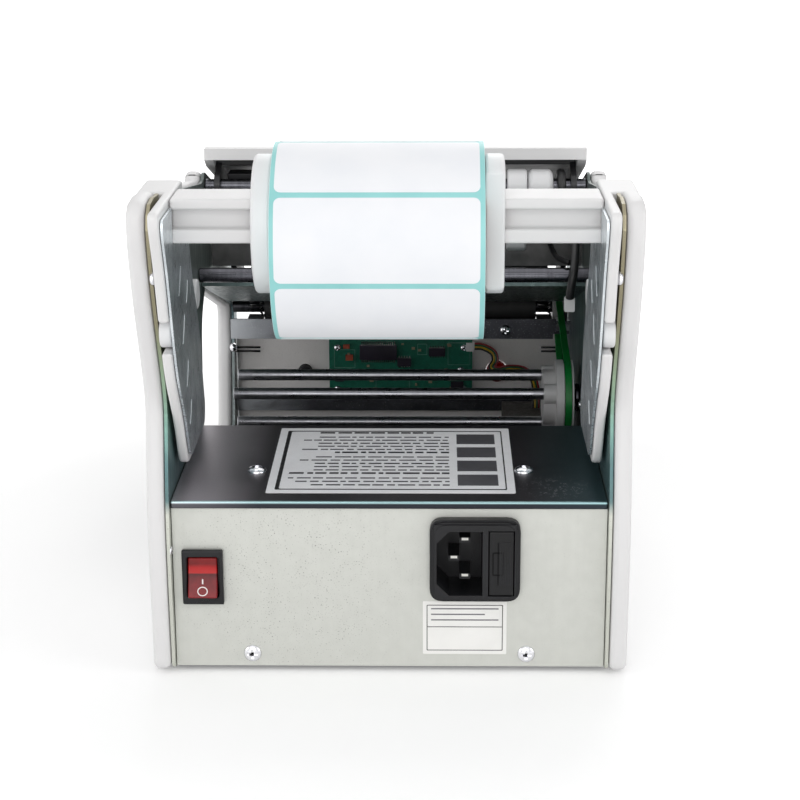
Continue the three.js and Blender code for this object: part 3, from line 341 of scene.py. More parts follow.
whitePlastic = plastic("whitePlastic", "#dcdbdb", "#dad9d9", 0.42, uneven=0.25)
whiteSoft = plastic("whiteSoft", "#dfdfe0", "#dcdcdd", 0.38, uneven=0.3)
greyPlastic = plastic("greyPlastic", "#b9b8b6", "#adacab", 0.42)
blackPlastic = plastic("blackPlastic", "#17171a", "#111113", 0.44, grain=0.4 * mm, Specular_IOR_Level=0.32)
blackSatin = plastic("blackSatin", "#0f0f11", "#0a0a0b", 0.5, Specular_IOR_Level=0.3)
chipBlack = plastic("chipBlack", "#211b2b", "#17131f", 0.4)
hubPlastic = plastic("hubPlastic", "#dddbdb", "#d2d0d0", 0.42)
rubberBlack = plastic("rubberBlack", "#141415", "#0e0e0f", 0.65, grain=0.25 * mm, depth=0.03 * mm)
rearZinc = sheetMetal("rearZinc", "#cacbc5", "#c5c6c0", 0.3, 0.44, (1, 1, 0.04), "#353632", 0.85,
                      clusters=((-0.034, -0.105, 0.036), 48 * mm))
bedZinc = sheetMetal("bedZinc", "#556463", "#475554", 0.75, 0.34, (1, 0.1, 1), specks=0.05)
stripZinc = sheetMetal("stripZinc", "#77797e", "#4c4d52", 0.85, 0.36, (0.3, 1, 1), "#c3c7cb", 0.45,
                       rise=(0, -0.079, 0.079, [
                           (0.0, "#b4b7bb"), (0.1, "#9a9da2"), (0.22, "#5b5c62"), (1.0, "#46474d")]))
# Painted shade: the base plate's zinc darkened for the dark it reflects in the shade under the machine
baseShadeZinc = sheetMetal("baseShadeZinc", "#3a3b3d", "#2b2c2e", 0.8, 0.35, (0.1, 1, 1))
topZinc = topFinish(*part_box("box_top_plate"))
# Frame plates: colours by height, partly the zinc's own passivation tint and partly painted reflection and
# shade, the dark teal band standing in for the dark interior they mirror; further inside the machine, painted
# shade
frameZinc = sheetMetal("frameZinc", "#b9b59f", "#a5a391", 0.55, 0.38, (1, 1, 0.05), "#5b5a52", 0.3,
                       innerShade="#4b5a60", rise=(2, 0.0, 0.175, [
                           (0.0, "#c6c8c0"), (0.355, "#c3c6be"), (0.385, "#35626a"), (0.46, "#356870"),
                           (0.54, "#5f8f86"), (0.63, "#8fae93"), (0.77, "#857f64"), (1.0, "#8a826a")]))
linerMirror = rubbedMirror("linerMirror", "#dbe1e4", "#b4bcc1")
strokePale = plastic("strokePale", "#d3d7d9", "#bcc1c4", 0.45)
guideDark = sheetMetal("guideDark", "#7a7777", "#666464", 0.3, 0.36, (0.1, 1, 1), "#5a5859", 0.2)
darkPaint = sheetMetal("darkPaint", "#1d1d1f", "#151516", 0.2, 0.42, (0.1, 1, 1), "#303032", 0.2)
greyPaint = sheetMetal("greyPaint", "#e2dfdd", "#dfdcda", 0.0, 0.5, (0.1, 1, 1), "#76736f", 0.15)
rodSteel = polished("rodSteel", "#98989c", "#8c8c91", 0.3)
shaftSteel = polished("shaftSteel", "#5a5a5f", "#4b4b50", 0.24)
blackSteel = polished("blackSteel", "#3b3b3e", "#29292c", 0.34)
chrome = polished("chrome", "#ebebee", "#d6d6db", 0.14, 0.5 * mm)
# Painted highlight for the ends of the inlet's pins
pinHighlight = plastic("pinHighlight", "#f1f0ea", "#dcdbd4", 0.3)
brightPin = polished("brightPin", "#c9c9c4", "#a9a9a4", 0.24, 0.8 * mm)
ironDark = sheetMetal("ironDark", "#4a4744", "#35332f", 0.6, 0.5, (1, 1, 0.02))
cardBrown = paperFinish("cardBrown", "#a98a63", "#8f724e", 0.75)
labelWhite = paperFinish("labelWhite", "#e9eaed", "#e4e6ea", 0.5)
linerBlue = paperFinish("linerBlue", "#93cfce", "#89c7c6", 0.4)
woundEdge = woundFinish(rollCentre)
beltGreen = plastic("beltGreen", "#10893a", "#0d7631", 0.42, grain=0.5 * mm)
boardGreen = boardFinish()
springBlack = plastic("springBlack", "#0e0e10", "#09090a", 0.42, Specular_IOR_Level=0.3)
cableBlack = plastic("cableBlack", "#121214", "#0c0c0d", 0.42, grain=0.6 * mm)
wireInks = [plastic("wire" + word, light, dark, 0.35) for word, light, dark in (
    ("Black", "#151515", "#0e0e0e"), ("Yellow", "#c9a91c", "#b29517"),
    ("Green", "#1d5a2c", "#174a24"), ("Red", "#8e1a24", "#77141d"))]
redClear = clearRed()
silverFilm = sheetMetal("silverFilm", "#f6f5f7", "#f0eff1", 0.0, 0.4, (0.1, 1, 1), "#a8a7aa", 0.2)
whiteFilm = paperFinish("whiteFilm", "#ecebe8", "#e3e2df", 0.4)
inkBlack = plastic("inkBlack", "#161617", "#101011", 0.4)
inkGrey = plastic("inkGrey", "#77767a", "#69686c", 0.45)
inkDark = plastic("inkDark", "#4f4e52", "#434246", 0.45)
reliefBlack = plastic("reliefBlack", "#040405", "#020203", 0.6, Specular_IOR_Level=0.15)
markWhite = plastic("markWhite", "#efe6e4", "#e6dcda", 0.4)
partOrange = plastic("partOrange", "#a5482e", "#8c3a24", 0.45)
partSand = plastic("partSand", "#9c9076", "#857a62", 0.45)
screenInk = plastic("screenInk", "#7fa598", "#6c9386", 0.5)
print("materials are made")


# Meshes: linking, softened copies of CAD nodes, simple outlines
def linkPiece(name, mesh, body, material):
    piece = bpy.data.objects.new(name, mesh)
    bpy.context.scene.collection.objects.link(piece)
    mesh.materials.clear()
    for one in material if isinstance(material, list) else [material]:
        mesh.materials.append(one)
    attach(piece, body)
    return piece


def cleanCopy(name):
    mesh = nodes[name].data.copy()
    work = bmesh.new()
    work.from_mesh(mesh)
    bmesh.ops.remove_doubles(work, verts=work.verts, dist=0.004 * mm)
    bmesh.ops.dissolve_limit(work, angle_limit=math.radians(0.8), verts=work.verts, edges=work.edges)
    for face in work.faces:
        face.smooth = True
    work.to_mesh(mesh)
    work.free()
    while mesh.uv_layers:
        mesh.uv_layers.remove(mesh.uv_layers[0])
    return mesh


def softened(name, material, width, segments=3, limit=40, clamp=True, paint=None):
    mesh = cleanCopy(name)
    piece = linkPiece(name + "_shell", mesh, bodyOf[name], material)
    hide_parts(name)
    if paint:
        for face in mesh.polygons:
            face.material_index = paint(face.center, face.normal)
    bevel = piece.modifiers.new("edge", "BEVEL")
    bevel.width = width
    bevel.segments = segments
    bevel.limit_method = "ANGLE"
    bevel.angle_limit = math.radians(limit)
    bevel.use_clamp_overlap = clamp
    bevel.miter_outer = "MITER_ARC"
    even = piece.modifiers.new("shading", "WEIGHTED_NORMAL")
    even.keep_sharp = True
    return piece


# Merges a mesh's doubles where a distance is given, and turns its faces outwards
def faceOut(mesh, merge=0.0):
    work = bmesh.new()
    work.from_mesh(mesh)
    if merge:
        bmesh.ops.remove_doubles(work, verts=work.verts, dist=merge)
    bmesh.ops.recalc_face_normals(work, faces=work.faces)
    work.to_mesh(mesh)
    work.free()


def fromFaces(name, points, faces, body, material, smooth=False):
    mesh = bpy.data.meshes.new(name)
    mesh.from_pydata([tuple(p) for p in points], [], faces)
    faceOut(mesh, 0.001 * mm)
    for face in mesh.polygons:
        face.use_smooth = smooth
    return linkPiece(name, mesh, body, material)


def roundedRectangle(width, height, radius, steps=5):
    points = []
    for cx, cy, start in ((1, 1, 0), (-1, 1, 90), (-1, -1, 180), (1, -1, 270)):
        for i in range(steps + 1):
            angle = math.radians(start + 90 * i / steps)
            points.append((cx * (width / 2 - radius) + radius * math.cos(angle),
                           cy * (height / 2 - radius) + radius * math.sin(angle)))
    return points


# A thin plate from an outline, with place(a, b, depth) giving each point
def plate(name, outline, place, depth, body, material):
    count = len(outline)
    points = [place(a, b, 0) for a, b in outline] + [place(a, b, depth) for a, b in outline]
    faces = [tuple(range(count)), tuple(reversed(range(count, 2 * count)))]
    faces += [(i, (i + 1) % count, count + (i + 1) % count, count + i) for i in range(count)]
    return fromFaces(name, points, faces, body, material)


# Faces of a closed band: rows of points that run round and meet the first row again
def bandFaces(rows, count):
    faces = []
    for r in range(rows):
        a, b = r * count, (r + 1) % rows * count
        faces += [(a + i, a + (i + 1) % count, b + (i + 1) % count, b + i) for i in range(count)]
    return faces


def frameStrip(name, outer, inner, place, depth, body, material):
    lines = ((outer, 0), (outer, depth), (inner, depth), (inner, 0))
    points = [place(a, b, d) for line, d in lines for a, b in line]
    return fromFaces(name, points, bandFaces(len(lines), len(outer)), body, material)


# Faces of a tube whose rings of points begin at one index, with both ends closed
def tubeFaces(start, rings, sides):
    faces = []
    for k in range(rings - 1):
        a, b = start + k * sides, start + (k + 1) * sides
        faces += [(a + i, a + (i + 1) % sides, b + (i + 1) % sides, b + i) for i in range(sides)]
    last = start + (rings - 1) * sides
    return faces + [tuple(range(start, start + sides)), tuple(reversed(range(last, last + sides)))]


def circle(sides):
    return [(math.cos(2 * math.pi * i / sides), math.sin(2 * math.pi * i / sides)) for i in range(sides)]


def heading(path, k):
    return (path[min(k + 1, len(path) - 1)] - path[max(k - 1, 0)]).normalized()


def tube(name, path, radius, body, material, sides=12):
    points = []
    lift = Vector((0, 0, 1))
    for k, spot in enumerate(path):
        forward = heading(path, k)
        side = forward.cross(lift)
        side = side.normalized() if side.length > 1e-4 else Vector((1, 0, 0))
        lift = side.cross(forward).normalized()
        points += [spot + side * (radius * a) + lift * (radius * b) for a, b in circle(sides)]
    return fromFaces(name, points, tubeFaces(0, len(path), sides), body, material, smooth=True)


def smoothPath(points, steps=5):
    line = [Vector(p) for p in points]
    out = []
    for i in range(len(line) - 1):
        a, b, c, d = line[max(i - 1, 0)], line[i], line[i + 1], line[min(i + 2, len(line) - 1)]
        for t in (s / steps for s in range(steps)):
            out.append(0.5 * ((2 * b) + (c - a) * t + (2 * a - 5 * b + 4 * c - d) * t * t
                              + (3 * b - a - 3 * c + d) * t ** 3))
    out.append(line[-1])
    return out


# Cables held inside the machine, on the routes of the CAD
cables = {
    "ribbon": [(34.6, 235.2, 61), (39.2, 234.9, 60.8), (44, 233.4, 58.5), (45, 232, 55), (43.5, 231, 52),
               (46.5, 230, 50.6), (52, 229.5, 51.8), (58, 228.5, 51.4), (62.5, 225.5, 48.5),
               (64, 221, 44), (64, 217.8, 39.6), (64, 217, 35.9)],
    "ribbonWire": 0.46, "wireGap": 1.9, "wireSides": 8,
    "sensor": [(68.4, 148, 148.5), (68.4, 145.6, 152), (68.4, 142.6, 158.5), (68.4, 138.6, 161.4),
               (68.4, 134.2, 161.5), (68.5, 130.9, 158.4), (69, 130, 154), (70.6, 127.5, 149.4),
               (72.6, 121, 144), (73, 112, 139), (72.6, 104.4, 134), (71.9, 100.4, 127.5),
               (70.9, 101.2, 120.5), (70.7, 102.2, 117)],
    "sensorRadius": 1.75, "sensorSides": 14, "plug": (4.2, 5.8, 0.6), "plugDrop": 3.0, "plugDepth": 3.0,
}


def pathLength(path):
    return sum((b - a).length for a, b in zip(path, path[1:]))


def makeRibbon():
    path = smoothPath([row(*p) for p in cables["ribbon"]])
    radius, sides, count = cables["ribbonWire"] * mm, cables["wireSides"], len(wireInks)
    points, faces, inks = [], [], []
    for w in range(count):
        shift = (w - (count - 1) / 2) * cables["wireGap"] * radius
        start = len(points)
        for k, spot in enumerate(path):
            side = heading(path, k).cross(Vector((0, 1, 0))).normalized()
            up = side.cross(heading(path, k)).normalized()
            points += [spot + side * (shift + radius * a) + up * (radius * b) for a, b in circle(sides)]
        made = tubeFaces(start, len(path), sides)
        faces += made
        inks += [w] * len(made)
    mesh = bpy.data.meshes.new("ribbonCable")
    mesh.from_pydata([tuple(p) for p in points], [], faces)
    piece = linkPiece("ribbonCable", mesh, "frame", wireInks)
    for face, ink in zip(mesh.polygons, inks):
        face.material_index = ink
        face.use_smooth = True
    faceOut(mesh)
    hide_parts("ribbon_cable")
    print("ribbon cable length", round(pathLength(path), 4))


def makeSensorCable():
    path = smoothPath([row(*p) for p in cables["sensor"]])
    radius = cables["sensorRadius"] * mm
    piece = tube("sensorCable", path, radius, "frame", cableBlack, cables["sensorSides"])
    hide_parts("sensor_cable")
    end = path[-1] - Vector((0, 0, cables["plugDrop"] * mm))
    block = plate("sensorPlug", roundedRectangle(*(size * mm for size in cables["plug"])),
                  lambda a, b, d: (end.x + a, end.y + d, end.z + b), cables["plugDepth"] * mm,
                  "frame", whitePlastic)
    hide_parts("sensor_cable")
    print("sensor cable length", round(pathLength(path), 4))


makeRibbon()
makeSensorCable()
print("cables are made")


# Geometry node trees for what repeats
def startTree(name, sockets):
    tree = bpy.data.node_groups.new(name, "GeometryNodeTree")
    tree.interface.new_socket("Geometry", in_out="INPUT", socket_type="NodeSocketGeometry")
    for label, kind, value in sockets:
        socket = tree.interface.new_socket(label, in_out="INPUT", socket_type="NodeSocket" + kind)
        if value is not None:
            socket.default_value = value
    tree.interface.new_socket("Geometry", in_out="OUTPUT", socket_type="NodeSocketGeometry")
    start = tree.nodes.new("NodeGroupInput")
    return tree, {socket.name: socket for socket in start.outputs if socket.name}


def endTree(tree, geometry, material, smooth=True):
    real = addNode(tree, "GeometryNodeRealizeInstances", {0: geometry}).outputs[0]
    shaded = addNode(tree, "GeometryNodeSetShadeSmooth", {0: real, "Shade Smooth": smooth}).outputs[0]
    painted = addNode(tree, "GeometryNodeSetMaterial", {0: shaded, "Material": material}).outputs[0]
    addNode(tree, "NodeGroupOutput", {0: painted})
    return tree


def attribute(tree, name):
    node = addNode(tree, "GeometryNodeInputNamedAttribute", {"Name": name}, data_type="FLOAT_VECTOR")
    return node.outputs[0]


def runTree(name, tree, points, values, body, attributes=None, sharp=35):
    mesh = bpy.data.meshes.new(name + "Points")
    mesh.from_pydata([tuple(p) for p in points], [], [])
    for label, numbers in (attributes or {}).items():
        layer = mesh.attributes.new(label, "FLOAT_VECTOR", "POINT")
        for item, number in zip(layer.data, numbers):
            item.vector = number
    carrier = bpy.data.objects.new(name + "Carrier", mesh)
    bpy.context.scene.collection.objects.link(carrier)
    modifier = carrier.modifiers.new("nodes", "NODES")
    modifier.node_group = tree
    for socket in tree.interface.items_tree:
        if socket.in_out == "INPUT" and socket.name in values:
            modifier[socket.identifier] = values[socket.name]
    graph = bpy.context.evaluated_depsgraph_get()
    graph.update()
    made = bpy.data.meshes.new_from_object(carrier.evaluated_get(graph))
    made.set_sharp_from_angle(angle=math.radians(sharp))
    bpy.data.objects.remove(carrier)
    return linkPiece(name, made, body, values["Material"])


def screwTree():
    tree, given = startTree("screwHeads", [
        ("Radius", "Float", 3 * mm), ("Height", "Float", 1.4 * mm), ("Slot Width", "Float", 0.7 * mm),
        ("Slot Depth", "Float", 0.8 * mm), ("Material", "Material", None)])
    ball = addNode(tree, "GeometryNodeMeshUVSphere", {"Segments": 28, "Rings": 14, "Radius": given["Radius"]})
    squash = calc(tree, "DIVIDE", given["Height"], given["Radius"])
    flat = addNode(tree, "ShaderNodeCombineXYZ", {0: 1.0, 1: 1.0, 2: squash})
    dome = addNode(tree, "GeometryNodeTransform", {0: ball.outputs[0], "Scale": flat.outputs[0]})
    long = calc(tree, "MULTIPLY", given["Radius"], 1.15)
    deep = calc(tree, "MULTIPLY", given["Slot Depth"], 2.0)
    top = addNode(tree, "ShaderNodeCombineXYZ", {2: given["Height"]})
    slots = []
    for a, b in ((long, given["Slot Width"]), (given["Slot Width"], long)):
        size = addNode(tree, "ShaderNodeCombineXYZ", {0: a, 1: b, 2: deep})
        bar = addNode(tree, "GeometryNodeMeshCube", {"Size": size.outputs[0]})
        slots.append(addNode(tree, "GeometryNodeTransform", {
            0: bar.outputs[0], "Translation": top.outputs[0]}).outputs[0])
    cut = addNode(tree, "GeometryNodeMeshBoolean", {0: dome.outputs[0], 1: slots}, operation="DIFFERENCE")
    turn = addNode(tree, "FunctionNodeAlignRotationToVector", {"Vector": attribute(tree, "facing")}, axis="Z")
    spot = addNode(tree, "GeometryNodeInstanceOnPoints", {
        "Points": given["Geometry"], "Instance": cut.outputs[0], "Rotation": turn.outputs[0]})
    return endTree(tree, spot.outputs[0], given["Material"])


def blockTree():
    tree, given = startTree("blocks", [("Material", "Material", None)])
    cube = addNode(tree, "GeometryNodeMeshCube", {"Size": (1.0, 1.0, 1.0)})
    spot = addNode(tree, "GeometryNodeInstanceOnPoints", {
        "Points": given["Geometry"], "Instance": cube.outputs[0], "Scale": attribute(tree, "size")})
    return endTree(tree, spot.outputs[0], given["Material"], smooth=False)


def roundTree():
    tree, given = startTree("labelsRound", [
        ("Patch", "Object", None), ("Count", "Int", 8), ("Pitch", "Float", 0.8),
        ("Centre", "Vector", (0.0, 0.0, 0.0)), ("Material", "Material", None)])
    patch = addNode(tree, "GeometryNodeObjectInfo", {"Object": given["Patch"]}, transform_space="ORIGINAL")
    line = addNode(tree, "GeometryNodeMeshLine", {"Count": given["Count"], "Offset": (0.0, 0.0, 0.0)})
    index = addNode(tree, "GeometryNodeInputIndex")
    angle = calc(tree, "MULTIPLY", index.outputs[0], given["Pitch"])
    turn = addNode(tree, "ShaderNodeCombineXYZ", {0: angle})
    spot = addNode(tree, "GeometryNodeInstanceOnPoints", {
        "Points": line.outputs[0], "Instance": patch.outputs["Geometry"], "Rotation": turn.outputs[0]})
    real = addNode(tree, "GeometryNodeRealizeInstances", {0: spot.outputs[0]})
    moved = addNode(tree, "GeometryNodeTransform", {0: real.outputs[0], "Translation": given["Centre"]})
    return endTree(tree, moved.outputs[0], given["Material"])


screws = screwTree()
blocks = blockTree()
labelsRound = roundTree()


# Lens heads with a cross slot, as wide and deep as the head's own size asks
def screwSet(name, places, facing, radius, height):
    values = {"Radius": radius * mm, "Height": height * mm, "Slot Width": radius * 0.3 * mm,
              "Slot Depth": height * 0.55 * mm, "Material": chrome}
    return runTree(name, screws, places, values, "frame", {"facing": [facing] * len(places)})


def blockSet(name, boxes, material, body="frame"):
    places = [(Vector(a) + Vector(b)) / 2 for a, b in boxes]
    sizes = [tuple(abs(u - v) for u, v in zip(a, b)) for a, b in boxes]
    return runTree(name, blocks, places, {"Material": material}, body, {"size": sizes}, sharp=30)


print("node trees are made")


# Covers, arms, roll holder and other mouldings, softened: finish, width and steps of the edges, and whether a
# narrow place holds the width back
edges = {
    "side_cover_left side_cover_right": (whitePlastic, 2.4, 4, False),
    "holder_arm_left holder_arm_right": (whitePlastic, 1.1, 3, False),
    "rear_peg_left rear_peg_right front_peg_left front_peg_right": (whiteSoft, 0.7, 3, True),
    "roll_bar": (whitePlastic, 1.0, 3, True), "hood": (whitePlastic, 0.9, 3, True),
    "roll_guide_left roll_guide_right": (whiteSoft, 1.2, 3, False),
    "label_guide_left label_guide_right": (whiteSoft, 1.0, 3, False),
    "shaft_collar": (whiteSoft, 0.6, 3, True), "rewind_hub": (hubPlastic, 0.4, 2, True),
    "speed_knob": (blackPlastic, 0.7, 3, True), "feed_button": (redClear, 0.6, 3, True),
    "switch_bezel": (blackPlastic, 0.6, 3, True), "drive_pulley motor_pulley": (greyPlastic, 0.2, 2, True),
    "rewind_belt": (beltGreen, 0.25, 2, True), "feed_belt": (rubberBlack, 0.2, 2, True),
    "drive_roller press_roller foot_strip_rear foot_strip_front": (rubberBlack, 0.4, 2, True),
    "guide_shaft_upper guide_shaft_lower": (shaftSteel, 0.3, 2, True),
    "drive_shaft": (blackSteel, 0.3, 2, True),
    "rewind_rod_1 rewind_rod_2 rewind_rod_3": (rodSteel, 0.4, 2, True),
    "rewind_axle": (shaftSteel, 0.3, 2, True),
    "box_top_plate": (topZinc, 0.9, 3, True), "label_sensor": (blackPlastic, 0.5, 2, True),
    "press_frame": (darkPaint, 0.4, 2, True), "feed_motor transformer": (ironDark, 0.5, 2, True),
    "bed_spring_left bed_spring_right": (springBlack, 0.05, 1, True), "roll_core": (cardBrown, 0.3, 2, True),
}
for names, (material, width, segments, clamp) in edges.items():
    for name in names.split():
        softened(name, material, width * mm, segments, clamp=clamp)

plainFinishes = {
    "frame_plate_left frame_plate_right": frameZinc, "base_plate": baseShadeZinc, "box_rear_plate": rearZinc,
    "label_bed": bedZinc, "guide_plate": guideDark, "front_panel": greyPaint,
    "cross_strip_upper cross_strip_lower": stripZinc, "arm_liner_left arm_liner_right": linerMirror,
}
for names, material in plainFinishes.items():
    for name in names.split():
        nodes[name].data.materials.clear()
        nodes[name].data.materials.append(material)
print("mouldings and sheets are dressed")


# Power inlet and its fuse drawer
fuseLow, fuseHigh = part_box("fuse_drawer")
socket = {
    "bevel": 0.8, "drawerBevel": 0.5, "pins": ((23.5, 44.2), (27.5, 51.2), (27.5, 37.2)), "pinFace": 1.0,
    "tipHalf": 1.2, "tipTall": 0.95, "tipDepth": (-0.06, 0.3),
    "ribs": 7, "ribStart": 0.9, "ribWidth": 0.35, "ribStep": 0.62, "ribReach": 8.4, "ribDepth": (-0.14, 0.2),
    "signLeft": 1.2, "sign": (4.2, 9.0, 0.5), "signInnerShares": (0.78, 0.9), "signDepth": (0.1, 0.22),
    "signLine": (0.22, 8.2), "signLineDepth": (-0.12, 0.1),
}
softened("power_inlet", blackPlastic, socket["bevel"] * mm, 3)
softened("fuse_drawer", blackSatin, socket["drawerBevel"] * mm, 2)


# Painted highlight: pale blocks on the upper lip of each pin's end, where the light catches it
def pinTips():
    half, (behind, ahead) = socket["tipHalf"], (socket["pinFace"] + depth for depth in socket["tipDepth"])
    tips = [(row(x - half, behind, z), row(x + half, ahead, z + socket["tipTall"])) for x, z in socket["pins"]]
    blockSet("pinTips", tips, pinHighlight)


def fuseDetails():
    face = fuseLow.y
    midX, midZ = (fuseLow.x + fuseHigh.x) / 2, (fuseLow.z + fuseHigh.z) / 2

    def upright(x0, x1, reach, depths):
        return [(x0, face + depths[0] * mm, midZ - reach * mm), (x1, face + depths[1] * mm, midZ + reach * mm)]

    starts = [fuseHigh.x - (socket["ribStart"] + i * socket["ribStep"]) * mm for i in range(socket["ribs"])]
    blockSet("fuseRibs", [upright(x, x - socket["ribWidth"] * mm, socket["ribReach"], socket["ribDepth"])
                          for x in starts], blackPlastic, "fuse_holder")
    left = midX - socket["signLeft"] * mm
    outer = roundedRectangle(*(size * mm for size in socket["sign"]))
    acrossShare, upShare = socket["signInnerShares"]
    inner = [(a * acrossShare, b * upShare) for a, b in outer]
    sunkBy, thick = (size * mm for size in socket["signDepth"])
    frameStrip("fuseSign", outer, inner, lambda a, b, d: (left + a, face + sunkBy - d, midZ + b), thick,
               "fuse_holder", reliefBlack)
    half, tall = socket["signLine"]
    line = upright(left - half * mm, left + half * mm, tall, socket["signLineDepth"])
    blockSet("fuseSignLine", [line], reliefBlack, "fuse_holder")


pinTips()
fuseDetails()


# The rocker, with the line and ring of a switch
rockerLow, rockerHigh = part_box("switch_rocker")
softened("switch_rocker", redClear, 0.5 * mm, 3)
signs = {"line": (0.5, 1.7, 0.15), "lineAt": 0.4, "ring": (1.9, 1.6), "ringInner": (1.55, 1.28),
         "ringAt": 0.17, "sides": 28, "sunk": 0.05, "thick": 0.13}


# How a spot lies in a triangle seen along one axis: its shares of the corners, or None where it is outside
def cornerShares(corners, spot, u, v, slack=0.0):
    a, b, c = corners
    area = (b[v] - c[v]) * (a[u] - c[u]) + (c[u] - b[u]) * (a[v] - c[v])
    if abs(area) < 1e-14:
        return None
    first = ((b[v] - c[v]) * (spot[0] - c[u]) + (c[u] - b[u]) * (spot[1] - c[v])) / area
    second = ((c[v] - a[v]) * (spot[0] - c[u]) + (a[u] - c[u]) * (spot[1] - c[v])) / area
    shares = (first, second, 1 - first - second)
    return shares if min(shares) >= -slack else None


def triangles(name):
    mesh = nodes[name].data
    mesh.calc_loop_triangles()
    return [[mesh.vertices[i].co.copy() for i in triangle.vertices] for triangle in mesh.loop_triangles]


# The signs lie on the rocker's own face, which slopes
def rockerMarks():
    corners = triangles("switch_rocker")
    midX = (rockerLow.x + rockerHigh.x) / 2

    def faceY(z):
        hits = [(cornerShares(three, (midX, z), 0, 2, 1e-6), three) for three in corners]
        found = [sum(share * corner.y for share, corner in zip(shares, three))
                 for shares, three in hits if shares]
        return min(found, default=rockerLow.y)

    def place(share):
        z = rockerLow.z + share * (rockerHigh.z - rockerLow.z)
        return lambda a, b, d: (midX + a, faceY(z + b) + (signs["sunk"] * mm - d), z + b)

    plate("switchLine", roundedRectangle(*(size * mm for size in signs["line"])), place(signs["lineAt"]),
          signs["thick"] * mm, "rocker", markWhite)
    outer, inner = ([(a * wide * mm, b * tall * mm) for a, b in circle(signs["sides"])]
                    for wide, tall in (signs["ring"], signs["ringInner"]))
    frameStrip("switchRing", outer, inner, place(signs["ringAt"]), signs["thick"] * mm, "rocker", markWhite)


rockerMarks()
print("inlet and switch are done")


# The roll: wound liner with labels stuck round it
roll = {"gapAngle": -14.4, "pitch": 52.2, "gap": 2.0, "left": 1.5, "right": 1.7, "corner": 2.2,
        "label": 0.14, "steps": 30, "cornerSteps": 5, "count": 6, "sides": 144, "seed": 7,
        "hollowSide": 0.3, "coreGap": 0.3, "turn": (0.7, 1.3), "turnFlat": (0.05, 0.55), "turnFlatRight": 0.5,
        "unevenLeft": 0.22, "unevenRight": 0.2, "leftStop": 1.2, "rightStart": 0.7, "rightStop": 0.8,
        "linerEdge": (0.08, 0.1), "sunk": 0.02}


# The wound sides are uneven, turn by turn, from the hollow for the core out to the liner
def woundProfile(hollow, liner):
    rng = random.Random(roll["seed"])
    left, right, side = rollLow.x, rollHigh.x, roll["hollowSide"] * mm
    low, high = (size * mm for size in roll["turnFlat"])
    profile = [(left + side, hollow)]
    level = hollow
    while level < liner - roll["leftStop"] * mm:
        nudge = rng.uniform(0.0, roll["unevenLeft"]) * mm
        profile += [(left + nudge, level + low), (left + nudge, level + high)]
        level += rng.uniform(*roll["turn"]) * mm
    across, down = (size * mm for size in roll["linerEdge"])
    profile += [(left, liner - down), (left + across, liner), (right - across, liner), (right, liner - down)]
    level = liner - roll["rightStart"] * mm
    while level > hollow + roll["rightStop"] * mm:
        nudge = rng.uniform(0.0, roll["unevenRight"]) * mm
        profile += [(right - nudge, level), (right - nudge, level - roll["turnFlatRight"] * mm)]
        level -= rng.uniform(*roll["turn"]) * mm
    return profile + [(right - side, hollow)]


def woundBody(liner):
    coreLow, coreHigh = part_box("roll_core")
    profile = woundProfile((coreHigh.z - coreLow.z) / 2 + roll["coreGap"] * mm, liner)
    points = [(x, rollCentre.y + reach * a, rollCentre.z + reach * b)
              for a, b in circle(roll["sides"]) for x, reach in profile]
    body = fromFaces("labelRoll", points, bandFaces(roll["sides"], len(profile)), "label_supply",
                     [linerBlue, woundEdge], smooth=True)
    for face in body.data.polygons:
        face.material_index = 1 if abs(face.normal.x) > 0.5 else 0
    body.data.set_sharp_from_angle(angle=math.radians(40))
    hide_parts("label_roll")


# One label, bent round the roll; the tree repeats it
def labelPatch(outer, liner):
    start = math.radians(roll["gapAngle"] - 2 * roll["pitch"]) + roll["gap"] / 2 * mm / outer
    stop = math.radians(roll["gapAngle"] - roll["pitch"]) - roll["gap"] / 2 * mm / outer
    span, corner, steps = (stop - start) * outer, roll["corner"] * mm, roll["cornerSteps"]
    x0, x1 = rollLow.x + roll["left"] * mm, rollHigh.x - roll["right"] * mm
    bends = [corner * (1 - math.cos(math.pi / 2 * k / steps)) / span for k in range(steps + 1)]
    evenly = [i / roll["steps"] for i in range(roll["steps"])]
    shares = sorted({1.0, *bends, *(1 - bend for bend in bends), *evenly})
    points, faces = [], []
    for share in shares:
        edge = min(share, 1 - share) * span
        inset = 0.0 if edge >= corner else corner - math.sqrt(max(corner ** 2 - (corner - edge) ** 2, 0))
        angle = start + share * (stop - start)
        points += [(x, -reach * math.cos(angle), reach * math.sin(angle))
                   for reach in (outer, liner - roll["sunk"] * mm) for x in (x0 + inset, x1 - inset)]
    last = 4 * (len(shares) - 1)
    for a in range(0, last, 4):
        b = a + 4
        faces += [(a, a + 1, b + 1, b), (a + 3, a + 2, b + 2, b + 3), (a + 2, a, b, b + 2),
                  (a + 1, a + 3, b + 3, b + 1)]
    faces += [(0, 2, 3, 1), (last, last + 1, last + 3, last + 2)]
    mesh = bpy.data.meshes.new("labelPatch")
    mesh.from_pydata(points, [], faces)
    faceOut(mesh)
    patch = bpy.data.objects.new("labelPatch", mesh)
    bpy.context.scene.collection.objects.link(patch)
    return patch


def makeRoll():
    outer = (rollHigh.z - rollLow.z) / 2
    liner = outer - roll["label"] * mm
    woundBody(liner)
    patch = labelPatch(outer, liner)
    values = {"Patch": patch, "Count": roll["count"], "Pitch": -math.radians(roll["pitch"]),
              "Centre": (0.0, rollCentre.y, rollCentre.z), "Material": labelWhite}
    runTree("rollLabels", labelsRound, [(0, 0, 0)], values, "label_supply", sharp=40)
    bpy.data.objects.remove(patch)


makeRoll()
print("roll is made")


